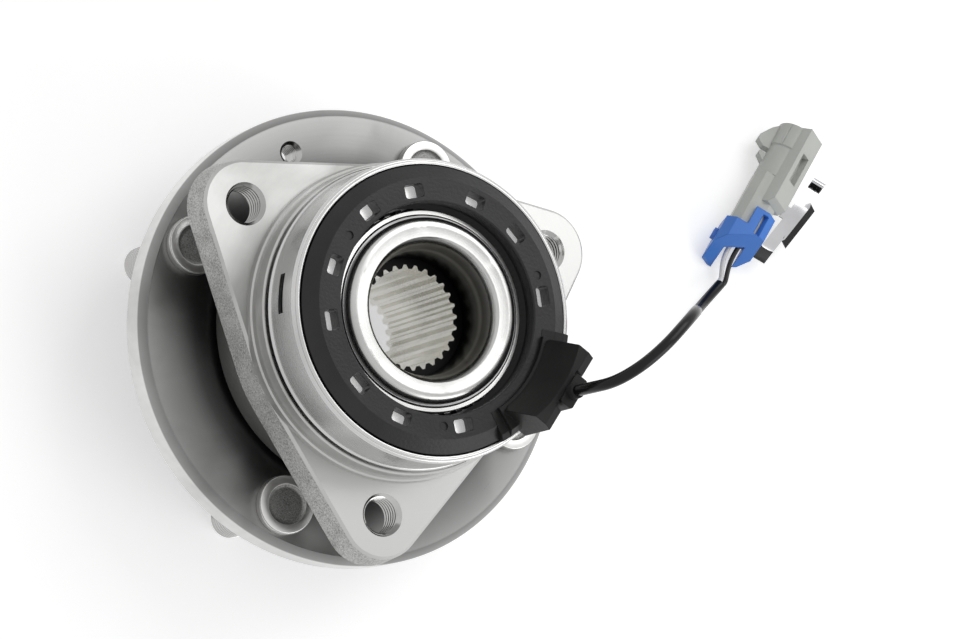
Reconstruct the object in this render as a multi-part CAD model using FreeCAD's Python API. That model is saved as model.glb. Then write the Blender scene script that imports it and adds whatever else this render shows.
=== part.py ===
"""Wheel hub bearing with a four-stud flange, a lobed knuckle flange and a wheel speed sensor.

Millimetres. The origin is the centre of the wheel mounting face, +Z is the hub axis towards the
knuckle, and +X runs through the middle of the sensor's terminal block. The part stands on its
four stud tips.
"""
import FreeCAD, Part
import math
import os

# Wheel flange and pilot
rim_width = 12.05
flange_thickness = 10.8
rim_chamfer = 2.4
face_chamfer = 0.8
pilot_r = 33.5
pilot_height = 9.0
pilot_chamfer = 1.5
nut_recess_r = 24.0
nut_seat_z = 3.5

# Wheel studs
stud_count = 4
stud_circle_r = 57.15
stud_angle = 9.75
stud_thread_r = 5.9
stud_knurl_r = 6.4
stud_reach = 30.0
stud_tip_chamfer = 1.3
stud_head_r = 8.8
stud_head_thickness = 3.0
stud_head_chamfer = 0.7
stud_dish_r = 6.3
stud_dish_depth = 0.8

# Rotor screw hole, midway between two studs
screw_offset = 0.55
screw_pitches = 1.5
screw_hole_r = 2.5
screw_mouth_r = 3.65

# Splined bore
spline_teeth = 28
spline_tip_r = 14.4
spline_root_r = 15.6
spline_root_width = 0.8
spline_mouth_width = 2.1
spline_top_z = 48.0
counterbore_r = 17.5
counterbore_top_r = 18.5
counterbore_top_z = 58.0

# Ball rows
ball_r = 5.5
balls_per_row = 14
ball_circle_r = 32.5
outboard_row_z = 22.6
row_spacing = 14.8
raceway_clearance = 0.15

# Hub barrel and inner ring
hub_shoulder_r = 36.0
hub_shoulder_step = 1.2
hub_neck_r = 31.6
seal_land_r = 29.0
inner_ring_r = 28.3
inner_ring_chamfer = 0.5
spindle_r = 22.3
inner_ring_start_z = 30.0
inner_ring_end_z = 61.5
collar_r = 27.2
collar_edge_height = 1.0
collar_height = 2.6
collar_bore_r = 20.3
collar_crown_share = 0.2

# Outer ring
outer_start_z = 15.6
outer_barrel_r = 47.2
lobe_back_z = 27.0
lobe_face_z = 37.6
lobe_count = 3
lobe_angle = 60.0
lobe_circle_r = 57.0
lobe_r = 13.0
lobe_draft = 1.0
lobe_edge = 0.8
bolt_hole_r = 5.25
bolt_mouth_r = 6.4
shoulder_height = 3.0
shoulder_chamfer = 0.5
knuckle_pilot_r = 46.0
ring_end_z = 46.4
ring_end_chamfer = 0.45
outer_land_r = 35.5
seal_bore_r = 39.5
outboard_seal_depth = 3.6
inboard_seal_depth = 3.2
cap_groove_r = 45.3
cap_groove_depth = 3.0

# Seals and slinger
seal_inset = 0.3
seal_case_wall = 0.8
outboard_case_r = 33.8
inboard_case_r = 31.0
lip_clearance = 0.3
lip_root_width = 2.6
lip_thickness = 0.4
slinger_wall = 0.8
slinger_r = 37.9
slinger_gap = 0.4

# Cages
cage_inner_r = 31.3
cage_outer_r = 33.7
cage_back = 6.9
cage_front = 3.2
pocket_clearance = 0.2

# Tone ring on the inner ring: a smooth sleeve with teeth round its lower part
tone_teeth = 48
tone_r = 30.6
tone_sleeve_r = 29.6
tone_start_z = 50.0
tone_teeth_end_z = 57.0
tone_end_z = 61.2
tone_edge = 0.3
tone_slot_share = 0.5

# Sensor cap
cap_r = 44.5
cap_wall = 0.9
cap_bead = 0.5
cap_bead_height = 1.6
cap_top_z = 63.4
cap_corner = 1.0
cap_roll_r = 42.3
cap_roll_height = 0.8
cap_slot_count = 3
cap_slot_angle = 210.0
cap_slot_sweep = 15.0
cap_slot_z = 53.7
cap_slot_height = 3.0

# Windowed sensor ring
ring_bore_r = 31.0
ring_face_z = 67.3
ring_edge_r = 42.1
ring_edge_z = 64.4
ring_flat_r = 38.0
ring_plate_z = 62.2
ring_skirt_wall = 1.8
ring_skirt_start_z = 50.5
ring_bore_edge = 0.4
cap_fit = 0.3
window_pairs = 6
window_pair_angle = 30.0
window_half_spread = 13.3
window_circle_r = 34.4
window_width = 6.0
window_height = 4.0
window_corner = 0.9
dimple_circle_r = 34.2
dimple_r = 1.3
dimple_depth = 0.5
dimple_angle = 54.0

# Coil, magnet and pole ring inside the sensor ring
pole_bore_r = 31.6
pole_wall = 1.2
magnet_height = 3.0
coil_height = 6.0
sensor_fit = 0.15

# Terminal block
block_half_width = 13.0
block_outer_x = 43.8
block_top_z = 80.7
block_top_fall = 1.2
block_chamfer = 2.4
block_wall_r = 34.9
block_wall_z = 69.8
block_wall_top_r = 39.8
saddle_half_angle = 27.0
saddle_inner_r = 33.7
saddle_outer_r = 42.9
saddle_top_z = 68.9
saddle_ramp = 3.0
boss_half_width = 5.0
boss_inner_x = 41.0
boss_outer_x = 45.4
boss_top_z = 82.0
boss_slot = 1.3
boss_slot_floor_z = 70.0

# Cable, from the boss to the plug
cable_r = 1.7
cable_route = [
    (43.2, 0.0, 82.0),
    (43.6, 0.2, 91.0),
    (45.9, 2.6, 99.3),
    (48.1, 9.0, 105.5),
    (50.0, 17.5, 108.5),
    (51.9, 26.7, 107.8),
    (54.6, 34.3, 103.0),
    (58.7, 39.5, 92.5),
    (65.5, 47.0, 74.5),
    (73.1, 55.2, 54.0),
    (81.2, 63.9, 32.5),
    (89.0, 72.7, 12.0),
    (94.8, 80.2, -3.0),
    (99.2, 87.4, -13.5),
    (102.6, 94.7, -20.5),
    (105.1, 102.1, -24.6),
    (107.1, 110.0, -26.3),
]
grommet_r = 2.4
grommet_height = 2.2
grommet_taper = 0.15
bend_share = 0.45
wire_r = 0.8
wire_offset = 0.88
wire_start_run = 2.0
wire_lead = 0.3

# Plug, laid on the surface beside the part; in its own frame y runs to the nose and z points up
plug_x = 103.1
plug_y = 114.3
plug_turn = 1.8
plug_roll = 17.0
plug_length = 54.0
plug_fit = 0.15

# Grey housing of the plug
body_start_y = 11.0
body_half_width = 5.8
body_chamfer = 2.7
barrel_start_y = 34.0
barrel_r = 5.95
collar_start_y = 45.0
socket_r = 6.3
socket_edge = 0.4
socket_wall = 0.75
socket_depth = 13.0
key_groove_x = 3.0
key_groove_width = 0.5
key_groove_depth = 0.35

# Side rail of the plug, leaning to the upper right
rail_lean = 45.0
rail_r = 8.4
rail_half_height = 4.1
rail_start_y = 24.0
rail_slot_half_height = 1.9
rail_slot_inset = 0.6
rail_foot_chamfer = 2.0

# Latch and stop on the left of the plug
latch_reach = 4.3
latch_shelf = 1.8
latch_nose_y = 52.5
latch_ramp_y = 46.5
latch_back_y = 43.2
latch_half_height = 1.7
stop_reach = 2.3
stop_start_y = 38.4
stop_end_y = 41.4

# Terminals and wire seal
terminal_half_width = 0.7
terminal_thickness = 0.6
terminal_spacing = 2.6
terminal_reach = 7.0
seal_length = 4.0

# Blue lock of the plug, with a slanted rear
lock_half_width = 7.3
lock_chamfer = 2.9
lock_length = 13.6
lock_arm_length = 20.6
lock_arm_inset = 0.4
lock_rear_mid_y = 5.5
lock_slope_x = 0.6
lock_slope_z = 0.5
lock_slot_half_width = 0.9
lock_slot_height = 2.3
lock_slot_start_y = 11.6
lock_slot_end_y = 19.2
lock_lug_reach = 1.2
lock_lug_start_y = 6.0
lock_lug_length = 3.2
lock_lug_half_height = 1.4
wire_mouth_half_width = 3.0
wire_mouth_top = 1.6
wire_entry_y = 3.0
wire_entry_drop = 2.4

# Bowed spring clip on the right of the plug
clip_gap = 0.35
clip_width = 4.4
clip_wall = 0.4
clip_profile = [(9.8, -4.6), (16.0, -5.2), (24.0, -2.6), (32.0, -1.2), (39.5, -2.4)]
clip_curl_r = 1.5
clip_wing_start_y = 19.0
clip_wing_end_y = 33.0
clip_wing_reach = 2.6
clip_finger_start_y = 24.6
clip_finger_end_y = 28.6

ORIGIN = FreeCAD.Vector(0, 0, 0)
UP = FreeCAD.Vector(0, 0, 1)
ALONG = FreeCAD.Vector(0, 1, 0)
FULL_TURN = 360.0

flange_r = stud_circle_r + rim_width
screw_circle_r = stud_circle_r + screw_offset
standing_z = -stud_reach
groove_r = ball_r + raceway_clearance
inboard_row_z = outboard_row_z + row_spacing
shoulder_z = lobe_face_z + shoulder_height
cap_bore_r = cap_r - cap_wall
skirt_start_z = ring_end_z - cap_groove_depth
stud_head_z = flange_thickness + stud_head_thickness
collar_top_z = inner_ring_end_z + collar_height
cap_under_z = cap_top_z - cap_wall


def at(r, angle, z=0.0):
    """Point at a radius, an angle in degrees and a height."""
    turn = math.radians(angle)
    return FreeCAD.Vector(r * math.cos(turn), r * math.sin(turn), z)


def rz(corner):
    """Point of the r-z plane."""
    return FreeCAD.Vector(corner[0], 0, corner[1])


def outline(steps, place):
    """Closed face; a step is a corner or a pair of points, an arc through the first of them."""
    edges = []
    pen = place(steps[0])
    for step in steps[1:] + steps[:1]:
        if isinstance(step[0], tuple):
            through = place(step[0])
            corner = place(step[1])
            edges.append(Part.Arc(pen, through, corner).toShape())
        else:
            corner = place(step)
            edges.append(Part.LineSegment(pen, corner).toShape())
        pen = corner
    return Part.Face(Part.Wire(edges))


def turned(*steps):
    """Ring or disc turned about the hub axis from its r-z section."""
    return outline(list(steps), rz).revolve(ORIGIN, UP, FULL_TURN)


def around(shape, count, first_angle=0.0):
    """Copies of a shape spaced evenly about the hub axis."""
    step = FULL_TURN / count
    return [shape.rotated(ORIGIN, UP, first_angle + number * step) for number in range(count)]


def rounded_box(x_range, y_range, z_range, corner, axis):
    """Box with its four edges along one axis rounded."""
    size = [high - low for low, high in (x_range, y_range, z_range)]
    start = FreeCAD.Vector(x_range[0], y_range[0], z_range[0])
    box = Part.makeBox(size[0], size[1], size[2], start)
    along = [edge for edge in box.Edges if abs(edge.tangentAt(edge.FirstParameter).dot(axis)) > 0.9]
    return box.makeFillet(corner, along)


def plain_box(x_range, y_range, z_range):
    """Box between two planes on each axis."""
    start = FreeCAD.Vector(x_range[0], y_range[0], z_range[0])
    spans = [high - low for low, high in (x_range, y_range, z_range)]
    return Part.makeBox(spans[0], spans[1], spans[2], start)


def race_point(row_z, angle):
    """Point of a raceway groove's arc, at an angle from the outward direction."""
    turn = math.radians(angle)
    return (ball_circle_r + groove_r * math.cos(turn), row_z + groove_r * math.sin(turn))


def race_angle(land_r):
    """Angle at which the groove's arc meets a land of the given radius."""
    return math.degrees(math.acos(abs(land_r - ball_circle_r) / groove_r))


def wheel_hub():
    """Flange, barrel with the outboard raceway, spindle and formed collar, in one forging."""
    land_angle = 180.0 + race_angle(seal_land_r)
    neck_z = flange_thickness + hub_shoulder_step
    neck_fillet = hub_neck_r - seal_land_r
    fillet_mid = neck_fillet * (1 - math.sqrt(0.5))
    collar_edge_z = inner_ring_end_z + collar_edge_height
    collar_mid_r = (collar_r + collar_bore_r) / 2
    collar_crown_r = collar_mid_r + collar_crown_share * (collar_r - collar_bore_r)
    body = turned(
        (pilot_r - pilot_chamfer, -pilot_height),
        (pilot_r, pilot_chamfer - pilot_height),
        (pilot_r, 0.0),
        (flange_r - face_chamfer, 0.0),
        (flange_r, face_chamfer),
        (flange_r, flange_thickness - rim_chamfer),
        (flange_r - rim_chamfer, flange_thickness),
        (hub_shoulder_r + 2 * hub_shoulder_step, flange_thickness),
        (hub_shoulder_r, neck_z),
        (hub_neck_r, neck_z),
        ((seal_land_r + fillet_mid, neck_z + fillet_mid), (seal_land_r, neck_z + neck_fillet)),
        race_point(outboard_row_z, land_angle),
        (race_point(outboard_row_z, (180.0 + land_angle) / 2), race_point(outboard_row_z, 180.0)),
        (ball_circle_r - groove_r, inner_ring_start_z),
        (spindle_r, inner_ring_start_z),
        (spindle_r, inner_ring_end_z),
        (collar_r, inner_ring_end_z),
        (collar_r, collar_edge_z),
        ((collar_crown_r, collar_top_z), (collar_mid_r, collar_top_z)),
        (collar_bore_r + collar_edge_height, collar_top_z),
        (collar_bore_r, collar_top_z - collar_edge_height),
        (counterbore_top_r, counterbore_top_z),
        (counterbore_r, spline_top_z),
        (spline_tip_r, spline_top_z),
        (spline_tip_r, nut_seat_z),
        (nut_recess_r, nut_seat_z),
        (nut_recess_r, -pilot_height),
    )
    stud_hole = Part.makeCylinder(stud_knurl_r, flange_thickness, at(stud_circle_r, stud_angle))
    cuts = around(stud_hole, stud_count)
    cuts.append(screw_hole())
    cuts += around(spline_groove(), spline_teeth)
    return body.cut(Part.makeCompound(cuts))


def screw_hole():
    """Countersunk hole for the screw that holds the brake rotor."""
    angle = stud_angle + screw_pitches * FULL_TURN / stud_count
    sink = screw_mouth_r - screw_hole_r
    hole = turned(
        (0.0, 0.0),
        (screw_mouth_r, 0.0),
        (screw_hole_r, sink),
        (screw_hole_r, flange_thickness - sink),
        (screw_mouth_r, flange_thickness),
        (0.0, flange_thickness),
    )
    return hole.translated(at(screw_circle_r, angle))


def spline_groove():
    """One groove between two spline teeth, run through the bore."""
    inside_r = spline_tip_r - (spline_root_r - spline_tip_r)
    flare = (spline_mouth_width - spline_root_width) / 2
    mouth = spline_mouth_width / 2
    corners = [
        FreeCAD.Vector(spline_root_r, -spline_root_width / 2, nut_seat_z),
        FreeCAD.Vector(spline_root_r, spline_root_width / 2, nut_seat_z),
        FreeCAD.Vector(spline_tip_r, mouth, nut_seat_z),
        FreeCAD.Vector(inside_r, mouth + flare, nut_seat_z),
        FreeCAD.Vector(inside_r, -mouth - flare, nut_seat_z),
        FreeCAD.Vector(spline_tip_r, -mouth, nut_seat_z),
    ]
    face = Part.Face(Part.makePolygon(corners + corners[:1]))
    return face.extrude(UP * (spline_top_z - nut_seat_z))


def wheel_studs():
    """Press-in studs with round dished heads on the back of the flange."""
    dish_z = stud_head_z - stud_dish_depth
    stud = turned(
        (0.0, standing_z),
        (stud_thread_r - stud_tip_chamfer, standing_z),
        (stud_thread_r, standing_z + stud_tip_chamfer),
        (stud_thread_r, 0.0),
        (stud_knurl_r, 0.0),
        (stud_knurl_r, flange_thickness),
        (stud_head_r, flange_thickness),
        (stud_head_r, stud_head_z - stud_head_chamfer),
        (stud_head_r - stud_head_chamfer, stud_head_z),
        (stud_dish_r, stud_head_z),
        (stud_dish_r - stud_dish_depth, dish_z),
        (0.0, dish_z),
    )
    return Part.makeCompound(around(stud.translated(at(stud_circle_r, stud_angle)), stud_count))


def inner_ring():
    """Inboard inner ring, clamped between the barrel's shoulder and the formed collar."""
    land_angle = 180.0 - race_angle(inner_ring_r)
    return turned(
        (spindle_r, inner_ring_start_z),
        (ball_circle_r - groove_r, inner_ring_start_z),
        race_point(inboard_row_z, 180.0),
        (race_point(inboard_row_z, (180.0 + land_angle) / 2), race_point(inboard_row_z, land_angle)),
        (inner_ring_r, inner_ring_end_z - inner_ring_chamfer),
        (inner_ring_r - inner_ring_chamfer, inner_ring_end_z),
        (spindle_r, inner_ring_end_z),
    )


def outer_ring_body():
    """Double-row outer ring without its flange."""
    land_angle = race_angle(outer_land_r)
    outer_race_r = ball_circle_r + groove_r
    outboard_seat_z = outer_start_z + outboard_seal_depth
    inboard_seat_z = ring_end_z - inboard_seal_depth
    return turned(
        (seal_bore_r, outer_start_z),
        (outer_barrel_r - shoulder_chamfer, outer_start_z),
        (outer_barrel_r, outer_start_z + shoulder_chamfer),
        (outer_barrel_r, shoulder_z - shoulder_chamfer),
        (outer_barrel_r - shoulder_chamfer, shoulder_z),
        (knuckle_pilot_r, shoulder_z),
        (knuckle_pilot_r, ring_end_z - ring_end_chamfer),
        (knuckle_pilot_r - ring_end_chamfer, ring_end_z),
        (cap_groove_r, ring_end_z),
        (cap_groove_r, skirt_start_z),
        (cap_bore_r, skirt_start_z),
        (cap_bore_r, ring_end_z),
        (seal_bore_r, ring_end_z),
        (seal_bore_r, inboard_seat_z),
        (outer_race_r, inboard_seat_z),
        race_point(inboard_row_z, 0.0),
        (race_point(inboard_row_z, -land_angle / 2), race_point(inboard_row_z, -land_angle)),
        race_point(outboard_row_z, land_angle),
        (race_point(outboard_row_z, land_angle / 2), race_point(outboard_row_z, 0.0)),
        (outer_race_r, outboard_seat_z),
        (seal_bore_r, outboard_seat_z),
    )


def lobed_outline(grow, z):
    """Three lobes round the bolt holes, joined by tangent lines and short arcs of the barrel."""
    tangent = math.degrees(math.acos((outer_barrel_r - lobe_r) / lobe_circle_r))
    pitch = FULL_TURN / lobe_count
    edges = []
    for number in range(lobe_count):
        angle = lobe_angle + number * pitch
        centre = at(lobe_circle_r, angle)
        entry = at(outer_barrel_r + grow, angle - tangent, z)
        lobe_start = centre + at(lobe_r + grow, angle - tangent, z)
        lobe_tip = centre + at(lobe_r + grow, angle, z)
        lobe_end = centre + at(lobe_r + grow, angle + tangent, z)
        leaving = at(outer_barrel_r + grow, angle + tangent, z)
        waist = at(outer_barrel_r + grow, angle + pitch / 2, z)
        following = at(outer_barrel_r + grow, angle + pitch - tangent, z)
        edges.append(Part.LineSegment(entry, lobe_start).toShape())
        edges.append(Part.Arc(lobe_start, lobe_tip, lobe_end).toShape())
        edges.append(Part.LineSegment(lobe_end, leaving).toShape())
        edges.append(Part.Arc(leaving, waist, following).toShape())
    return Part.Wire(edges)


def bolt_hole():
    """Hole of one knuckle bolt, with a countersink at each end."""
    sink = bolt_mouth_r - bolt_hole_r
    hole = turned(
        (0.0, lobe_back_z),
        (bolt_mouth_r, lobe_back_z),
        (bolt_hole_r, lobe_back_z + sink),
        (bolt_hole_r, lobe_face_z - sink),
        (bolt_mouth_r, lobe_face_z),
        (0.0, lobe_face_z),
    )
    return hole.translated(at(lobe_circle_r, lobe_angle))


def outer_ring():
    """Outer ring with the drafted, edged three-lobe flange that bolts to the knuckle."""
    outlines = [
        lobed_outline(lobe_draft, lobe_back_z),
        lobed_outline(0.0, lobe_face_z - lobe_edge),
        lobed_outline(-lobe_edge, lobe_face_z),
    ]
    flange = Part.makeLoft(outlines, True, True)
    bore = Part.makeCylinder(outer_barrel_r - shoulder_chamfer, lobe_face_z - lobe_back_z, at(0, 0, lobe_back_z))
    body = outer_ring_body().fuse(flange.cut(bore)).removeSplitter()
    return body.cut(Part.makeCompound(around(bolt_hole(), lobe_count)))


def balls(row_z):
    """One row of balls."""
    ball = Part.makeSphere(ball_r, at(ball_circle_r, 0.0, row_z))
    return Part.makeCompound(around(ball, balls_per_row))


def cage(row_z, towards_middle):
    """Crown cage, solid towards the middle of the bearing, snapped over its balls."""
    back_z = row_z + towards_middle * cage_back
    front_z = row_z - towards_middle * cage_front
    band = turned(
        (cage_inner_r, front_z),
        (cage_outer_r, front_z),
        (cage_outer_r, back_z),
        (cage_inner_r, back_z),
    )
    pocket = Part.makeSphere(ball_r + pocket_clearance, at(ball_circle_r, 0.0, row_z))
    return band.cut(Part.makeCompound(around(pocket, balls_per_row)))


def outboard_seal_case():
    """Pressed steel ring that carries the outboard lips."""
    start_z = outer_start_z + seal_inset
    return turned(
        (outboard_case_r, start_z),
        (seal_bore_r, start_z),
        (seal_bore_r, outer_start_z + outboard_seal_depth),
        (seal_bore_r - seal_case_wall, outer_start_z + outboard_seal_depth),
        (seal_bore_r - seal_case_wall, start_z + seal_case_wall),
        (outboard_case_r, start_z + seal_case_wall),
    )


def outboard_seal_lips():
    """Rubber bonded to the case: a face lip towards the flange and a lip round the barrel."""
    case_z = outer_start_z + seal_inset
    face_z = flange_thickness + hub_shoulder_step + lip_clearance
    tip_r = seal_land_r + lip_clearance
    return turned(
        (outboard_case_r, case_z + seal_case_wall),
        (outboard_case_r, case_z),
        (outboard_case_r + lip_root_width, case_z),
        (outboard_case_r + lip_root_width / 2, case_z - seal_case_wall),
        (outboard_case_r + lip_root_width / 2, face_z),
        (outboard_case_r + lip_root_width / 4, face_z),
        (outboard_case_r - lip_root_width / 4, case_z - seal_case_wall),
        (tip_r, case_z - seal_case_wall / 2),
        (tip_r, case_z),
        (outboard_case_r - lip_root_width / 2, case_z + seal_case_wall),
    )


def inboard_seal_case():
    """Pressed steel ring of the inboard seal."""
    start_z = ring_end_z - inboard_seal_depth
    end_z = ring_end_z - seal_inset
    return turned(
        (inboard_case_r, start_z),
        (seal_bore_r, start_z),
        (seal_bore_r, end_z),
        (seal_bore_r - seal_case_wall, end_z),
        (seal_bore_r - seal_case_wall, start_z + seal_case_wall),
        (inboard_case_r, start_z + seal_case_wall),
    )


def inboard_seal_lips():
    """Rubber lips that run on the slinger."""
    case_z = ring_end_z - inboard_seal_depth
    sleeve_r = inner_ring_r + slinger_wall + lip_clearance
    face_z = ring_end_z - slinger_wall - lip_clearance
    return turned(
        (inboard_case_r, case_z),
        (inboard_case_r, case_z + seal_case_wall),
        (inboard_case_r + lip_root_width, case_z + seal_case_wall),
        (inboard_case_r + lip_root_width / 2, case_z + seal_case_wall + lip_thickness),
        (inboard_case_r + lip_root_width, face_z),
        (inboard_case_r + lip_root_width - lip_thickness, face_z),
        (inboard_case_r, case_z + 2 * seal_case_wall),
        (sleeve_r, case_z + seal_case_wall + 2 * lip_thickness),
        (sleeve_r, case_z + seal_case_wall + lip_thickness),
    )


def inboard_slinger():
    """L-shaped slinger pressed on the inner ring."""
    start_z = ring_end_z - inboard_seal_depth + seal_case_wall
    return turned(
        (inner_ring_r, start_z),
        (inner_ring_r + slinger_wall, start_z),
        (inner_ring_r + slinger_wall, ring_end_z - slinger_wall),
        (slinger_r, ring_end_z - slinger_wall),
        (slinger_r, ring_end_z),
        (inner_ring_r, ring_end_z),
    )


def tone_ring():
    """Toothed ring that turns with the inner ring inside the sensor's pole ring."""
    band = turned(
        (inner_ring_r, tone_start_z),
        (tone_r, tone_start_z),
        (tone_r, tone_teeth_end_z),
        (tone_sleeve_r, tone_teeth_end_z),
        (tone_sleeve_r, tone_end_z - tone_edge),
        (tone_sleeve_r - tone_edge, tone_end_z),
        (inner_ring_r, tone_end_z),
    )
    slot_width = tone_slot_share * 2 * math.pi * tone_r / tone_teeth
    slot = plain_box(
        (tone_sleeve_r, tone_r + slot_width), (-slot_width / 2, slot_width / 2),
        (tone_start_z, tone_teeth_end_z))
    return band.cut(Part.makeCompound(around(slot, tone_teeth)))


def sensor_cap():
    """Drawn steel cap over the sensor, with a bead on its skirt and a rolled inner lip."""
    bead_z = ring_end_z + cap_bead_height
    corner_mid = cap_corner * (1 - math.sqrt(0.5))
    roll_z = cap_top_z + cap_roll_height
    valley_r = cap_roll_r + 2 * cap_wall
    cap = turned(
        (cap_bore_r, skirt_start_z),
        (cap_r, skirt_start_z),
        (cap_r, bead_z - cap_bead_height / 2),
        ((cap_r + cap_bead, bead_z), (cap_r, bead_z + cap_bead_height / 2)),
        (cap_r, cap_top_z - cap_corner),
        ((cap_r - corner_mid, cap_top_z - corner_mid), (cap_r - cap_corner, cap_top_z)),
        (valley_r - cap_wall / 2, cap_top_z),
        ((cap_roll_r + cap_wall / 2, roll_z), (cap_roll_r, cap_top_z)),
        (cap_roll_r, cap_under_z),
        (cap_bore_r, cap_under_z),
    )
    slots = around(cap_slot(), cap_slot_count, cap_slot_angle)
    return cap.cut(Part.makeCompound(slots))


def cap_slot():
    """Slot through the cap's wall, centred on +X."""
    ring = outline(
        [(cap_bore_r - cap_wall, cap_slot_z), (cap_r + cap_wall, cap_slot_z),
         (cap_r + cap_wall, cap_slot_z + cap_slot_height), (cap_bore_r - cap_wall, cap_slot_z + cap_slot_height)],
        rz)
    return ring.revolve(ORIGIN, UP, cap_slot_sweep).rotated(ORIGIN, UP, -cap_slot_sweep / 2)


def sensor_ring_blank(bore_r):
    """Sensor ring without windows, above its plate's underside."""
    body_r = cap_bore_r - cap_fit
    return turned(
        (bore_r, ring_plate_z),
        (body_r, ring_plate_z),
        (body_r, cap_under_z),
        (cap_roll_r - cap_fit, cap_under_z),
        (cap_roll_r - cap_fit, ring_edge_z - cap_fit),
        (ring_edge_r, ring_edge_z),
        (ring_flat_r, ring_face_z),
        (bore_r + ring_bore_edge, ring_face_z),
        (bore_r, ring_face_z - ring_bore_edge),
    )


def window_angles():
    """Angles of the windows, in pairs round the ring but none beside the terminal block."""
    pitch = FULL_TURN / window_pairs
    angles = []
    for number in range(window_pairs):
        middle = window_pair_angle + number * pitch
        angles += [middle - window_half_spread, middle + window_half_spread]
    return [angle for angle in angles if saddle_half_angle < angle < FULL_TURN - saddle_half_angle]


def window():
    """Cutter of one window, centred on +X."""
    half_width = window_width / 2
    half_height = window_height / 2
    return rounded_box(
        (window_circle_r - half_height, window_circle_r + half_height), (-half_width, half_width),
        (ring_plate_z, ring_face_z), window_corner, UP)


def sensor_ring():
    """Black moulded ring with six pairs of windows and a skirt inside the cap."""
    body_r = cap_bore_r - cap_fit
    skirt = turned(
        (body_r - ring_skirt_wall, ring_skirt_start_z),
        (body_r, ring_skirt_start_z),
        (body_r, ring_plate_z),
        (body_r - ring_skirt_wall, ring_plate_z),
    )
    cuts = [window().rotated(ORIGIN, UP, angle) for angle in window_angles()]
    dimple = Part.makeCylinder(dimple_r, dimple_depth, at(dimple_circle_r, 0.0, ring_face_z - dimple_depth))
    for angle in (dimple_angle, -dimple_angle, FULL_TURN / 2):
        cuts.append(dimple.rotated(ORIGIN, UP, angle))
    body = sensor_ring_blank(ring_bore_r).fuse(skirt).removeSplitter()
    return body.cut(Part.makeCompound(cuts))


def pole_ring():
    """Steel pole ring, its top seen through the windows."""
    outer_r = cap_bore_r - cap_fit - ring_skirt_wall - sensor_fit
    return turned(
        (pole_bore_r, ring_skirt_start_z),
        (pole_bore_r + pole_wall, ring_skirt_start_z),
        (pole_bore_r + pole_wall, ring_plate_z - pole_wall),
        (outer_r, ring_plate_z - pole_wall),
        (outer_r, ring_plate_z),
        (pole_bore_r, ring_plate_z),
    )


def potted_ring(start_z, height):
    """Ring that fills the space between the pole ring's wall and the skirt."""
    inner_r = pole_bore_r + pole_wall + sensor_fit
    outer_r = cap_bore_r - cap_fit - ring_skirt_wall - sensor_fit
    return turned((inner_r, start_z), (outer_r, start_z), (outer_r, start_z + height), (inner_r, start_z + height))


def terminal_block():
    """Tall block on a saddle that follows the sensor ring, with the cable boss at its top."""
    low_z = ring_edge_z
    profile = [
        (saddle_inner_r - cap_wall, low_z),
        (block_outer_x, low_z),
        (block_outer_x, block_top_z - block_top_fall),
        (block_outer_x - block_chamfer, block_top_z),
        (saddle_inner_r - cap_wall, block_top_z),
    ]
    side = outline(profile, rz).translated(FreeCAD.Vector(0, -block_half_width, 0))
    tower = side.extrude(FreeCAD.Vector(0, 2 * block_half_width, 0))
    boss = rounded_box(
        (boss_inner_x, boss_outer_x), (-boss_half_width, boss_half_width), (low_z, boss_top_z),
        cap_wall, UP)
    slot_x = (boss_inner_x, boss_outer_x)
    for side_sign in (-1, 1):
        inner_y = side_sign * boss_half_width
        outer_y = side_sign * (boss_half_width + boss_slot)
        slot = plain_box(
            slot_x, (min(inner_y, outer_y), max(inner_y, outer_y)), (boss_slot_floor_z, boss_top_z))
        tower = tower.cut(slot)
    hollow = turned(
        (0.0, low_z),
        (saddle_inner_r, low_z),
        (saddle_inner_r, ring_face_z),
        (block_wall_r, block_wall_z),
        (block_wall_top_r, block_top_z),
        (0.0, block_top_z),
    )
    block = tower.cut(hollow).fuse(boss).fuse(saddle()).removeSplitter()
    seat = sensor_ring_blank(ring_bore_r).fuse(lip_cover())
    return block.cut(seat)


def saddle():
    """Sector that hugs the sensor ring on both sides of the block, with ramped ends."""
    ramp_degrees = math.degrees(saddle_ramp / saddle_outer_r)
    high = saddle_top_z - saddle_ramp / 2
    low = saddle_sector(high, saddle_half_angle)
    return low.fuse(saddle_sector(saddle_top_z, saddle_half_angle - ramp_degrees))


def saddle_sector(top_z, half_angle):
    """Sector of the saddle up to a height."""
    face = outline(
        [(saddle_inner_r, ring_edge_z), (saddle_outer_r, ring_edge_z),
         (saddle_outer_r, ring_face_z - saddle_ramp / 4), (ring_flat_r + saddle_ramp, top_z),
         (saddle_inner_r, top_z)],
        rz)
    return face.revolve(ORIGIN, UP, 2 * half_angle).rotated(ORIGIN, UP, -half_angle)


def lip_cover():
    """Space of the cap's rolled lip, kept free under the block."""
    return turned(
        (ring_edge_r - cap_wall, cap_top_z),
        (cap_r + cap_wall, cap_top_z),
        (cap_r + cap_wall, cap_top_z + cap_roll_height + cap_fit),
        (ring_edge_r - cap_wall, cap_top_z + cap_roll_height + cap_fit),
    )


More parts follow.
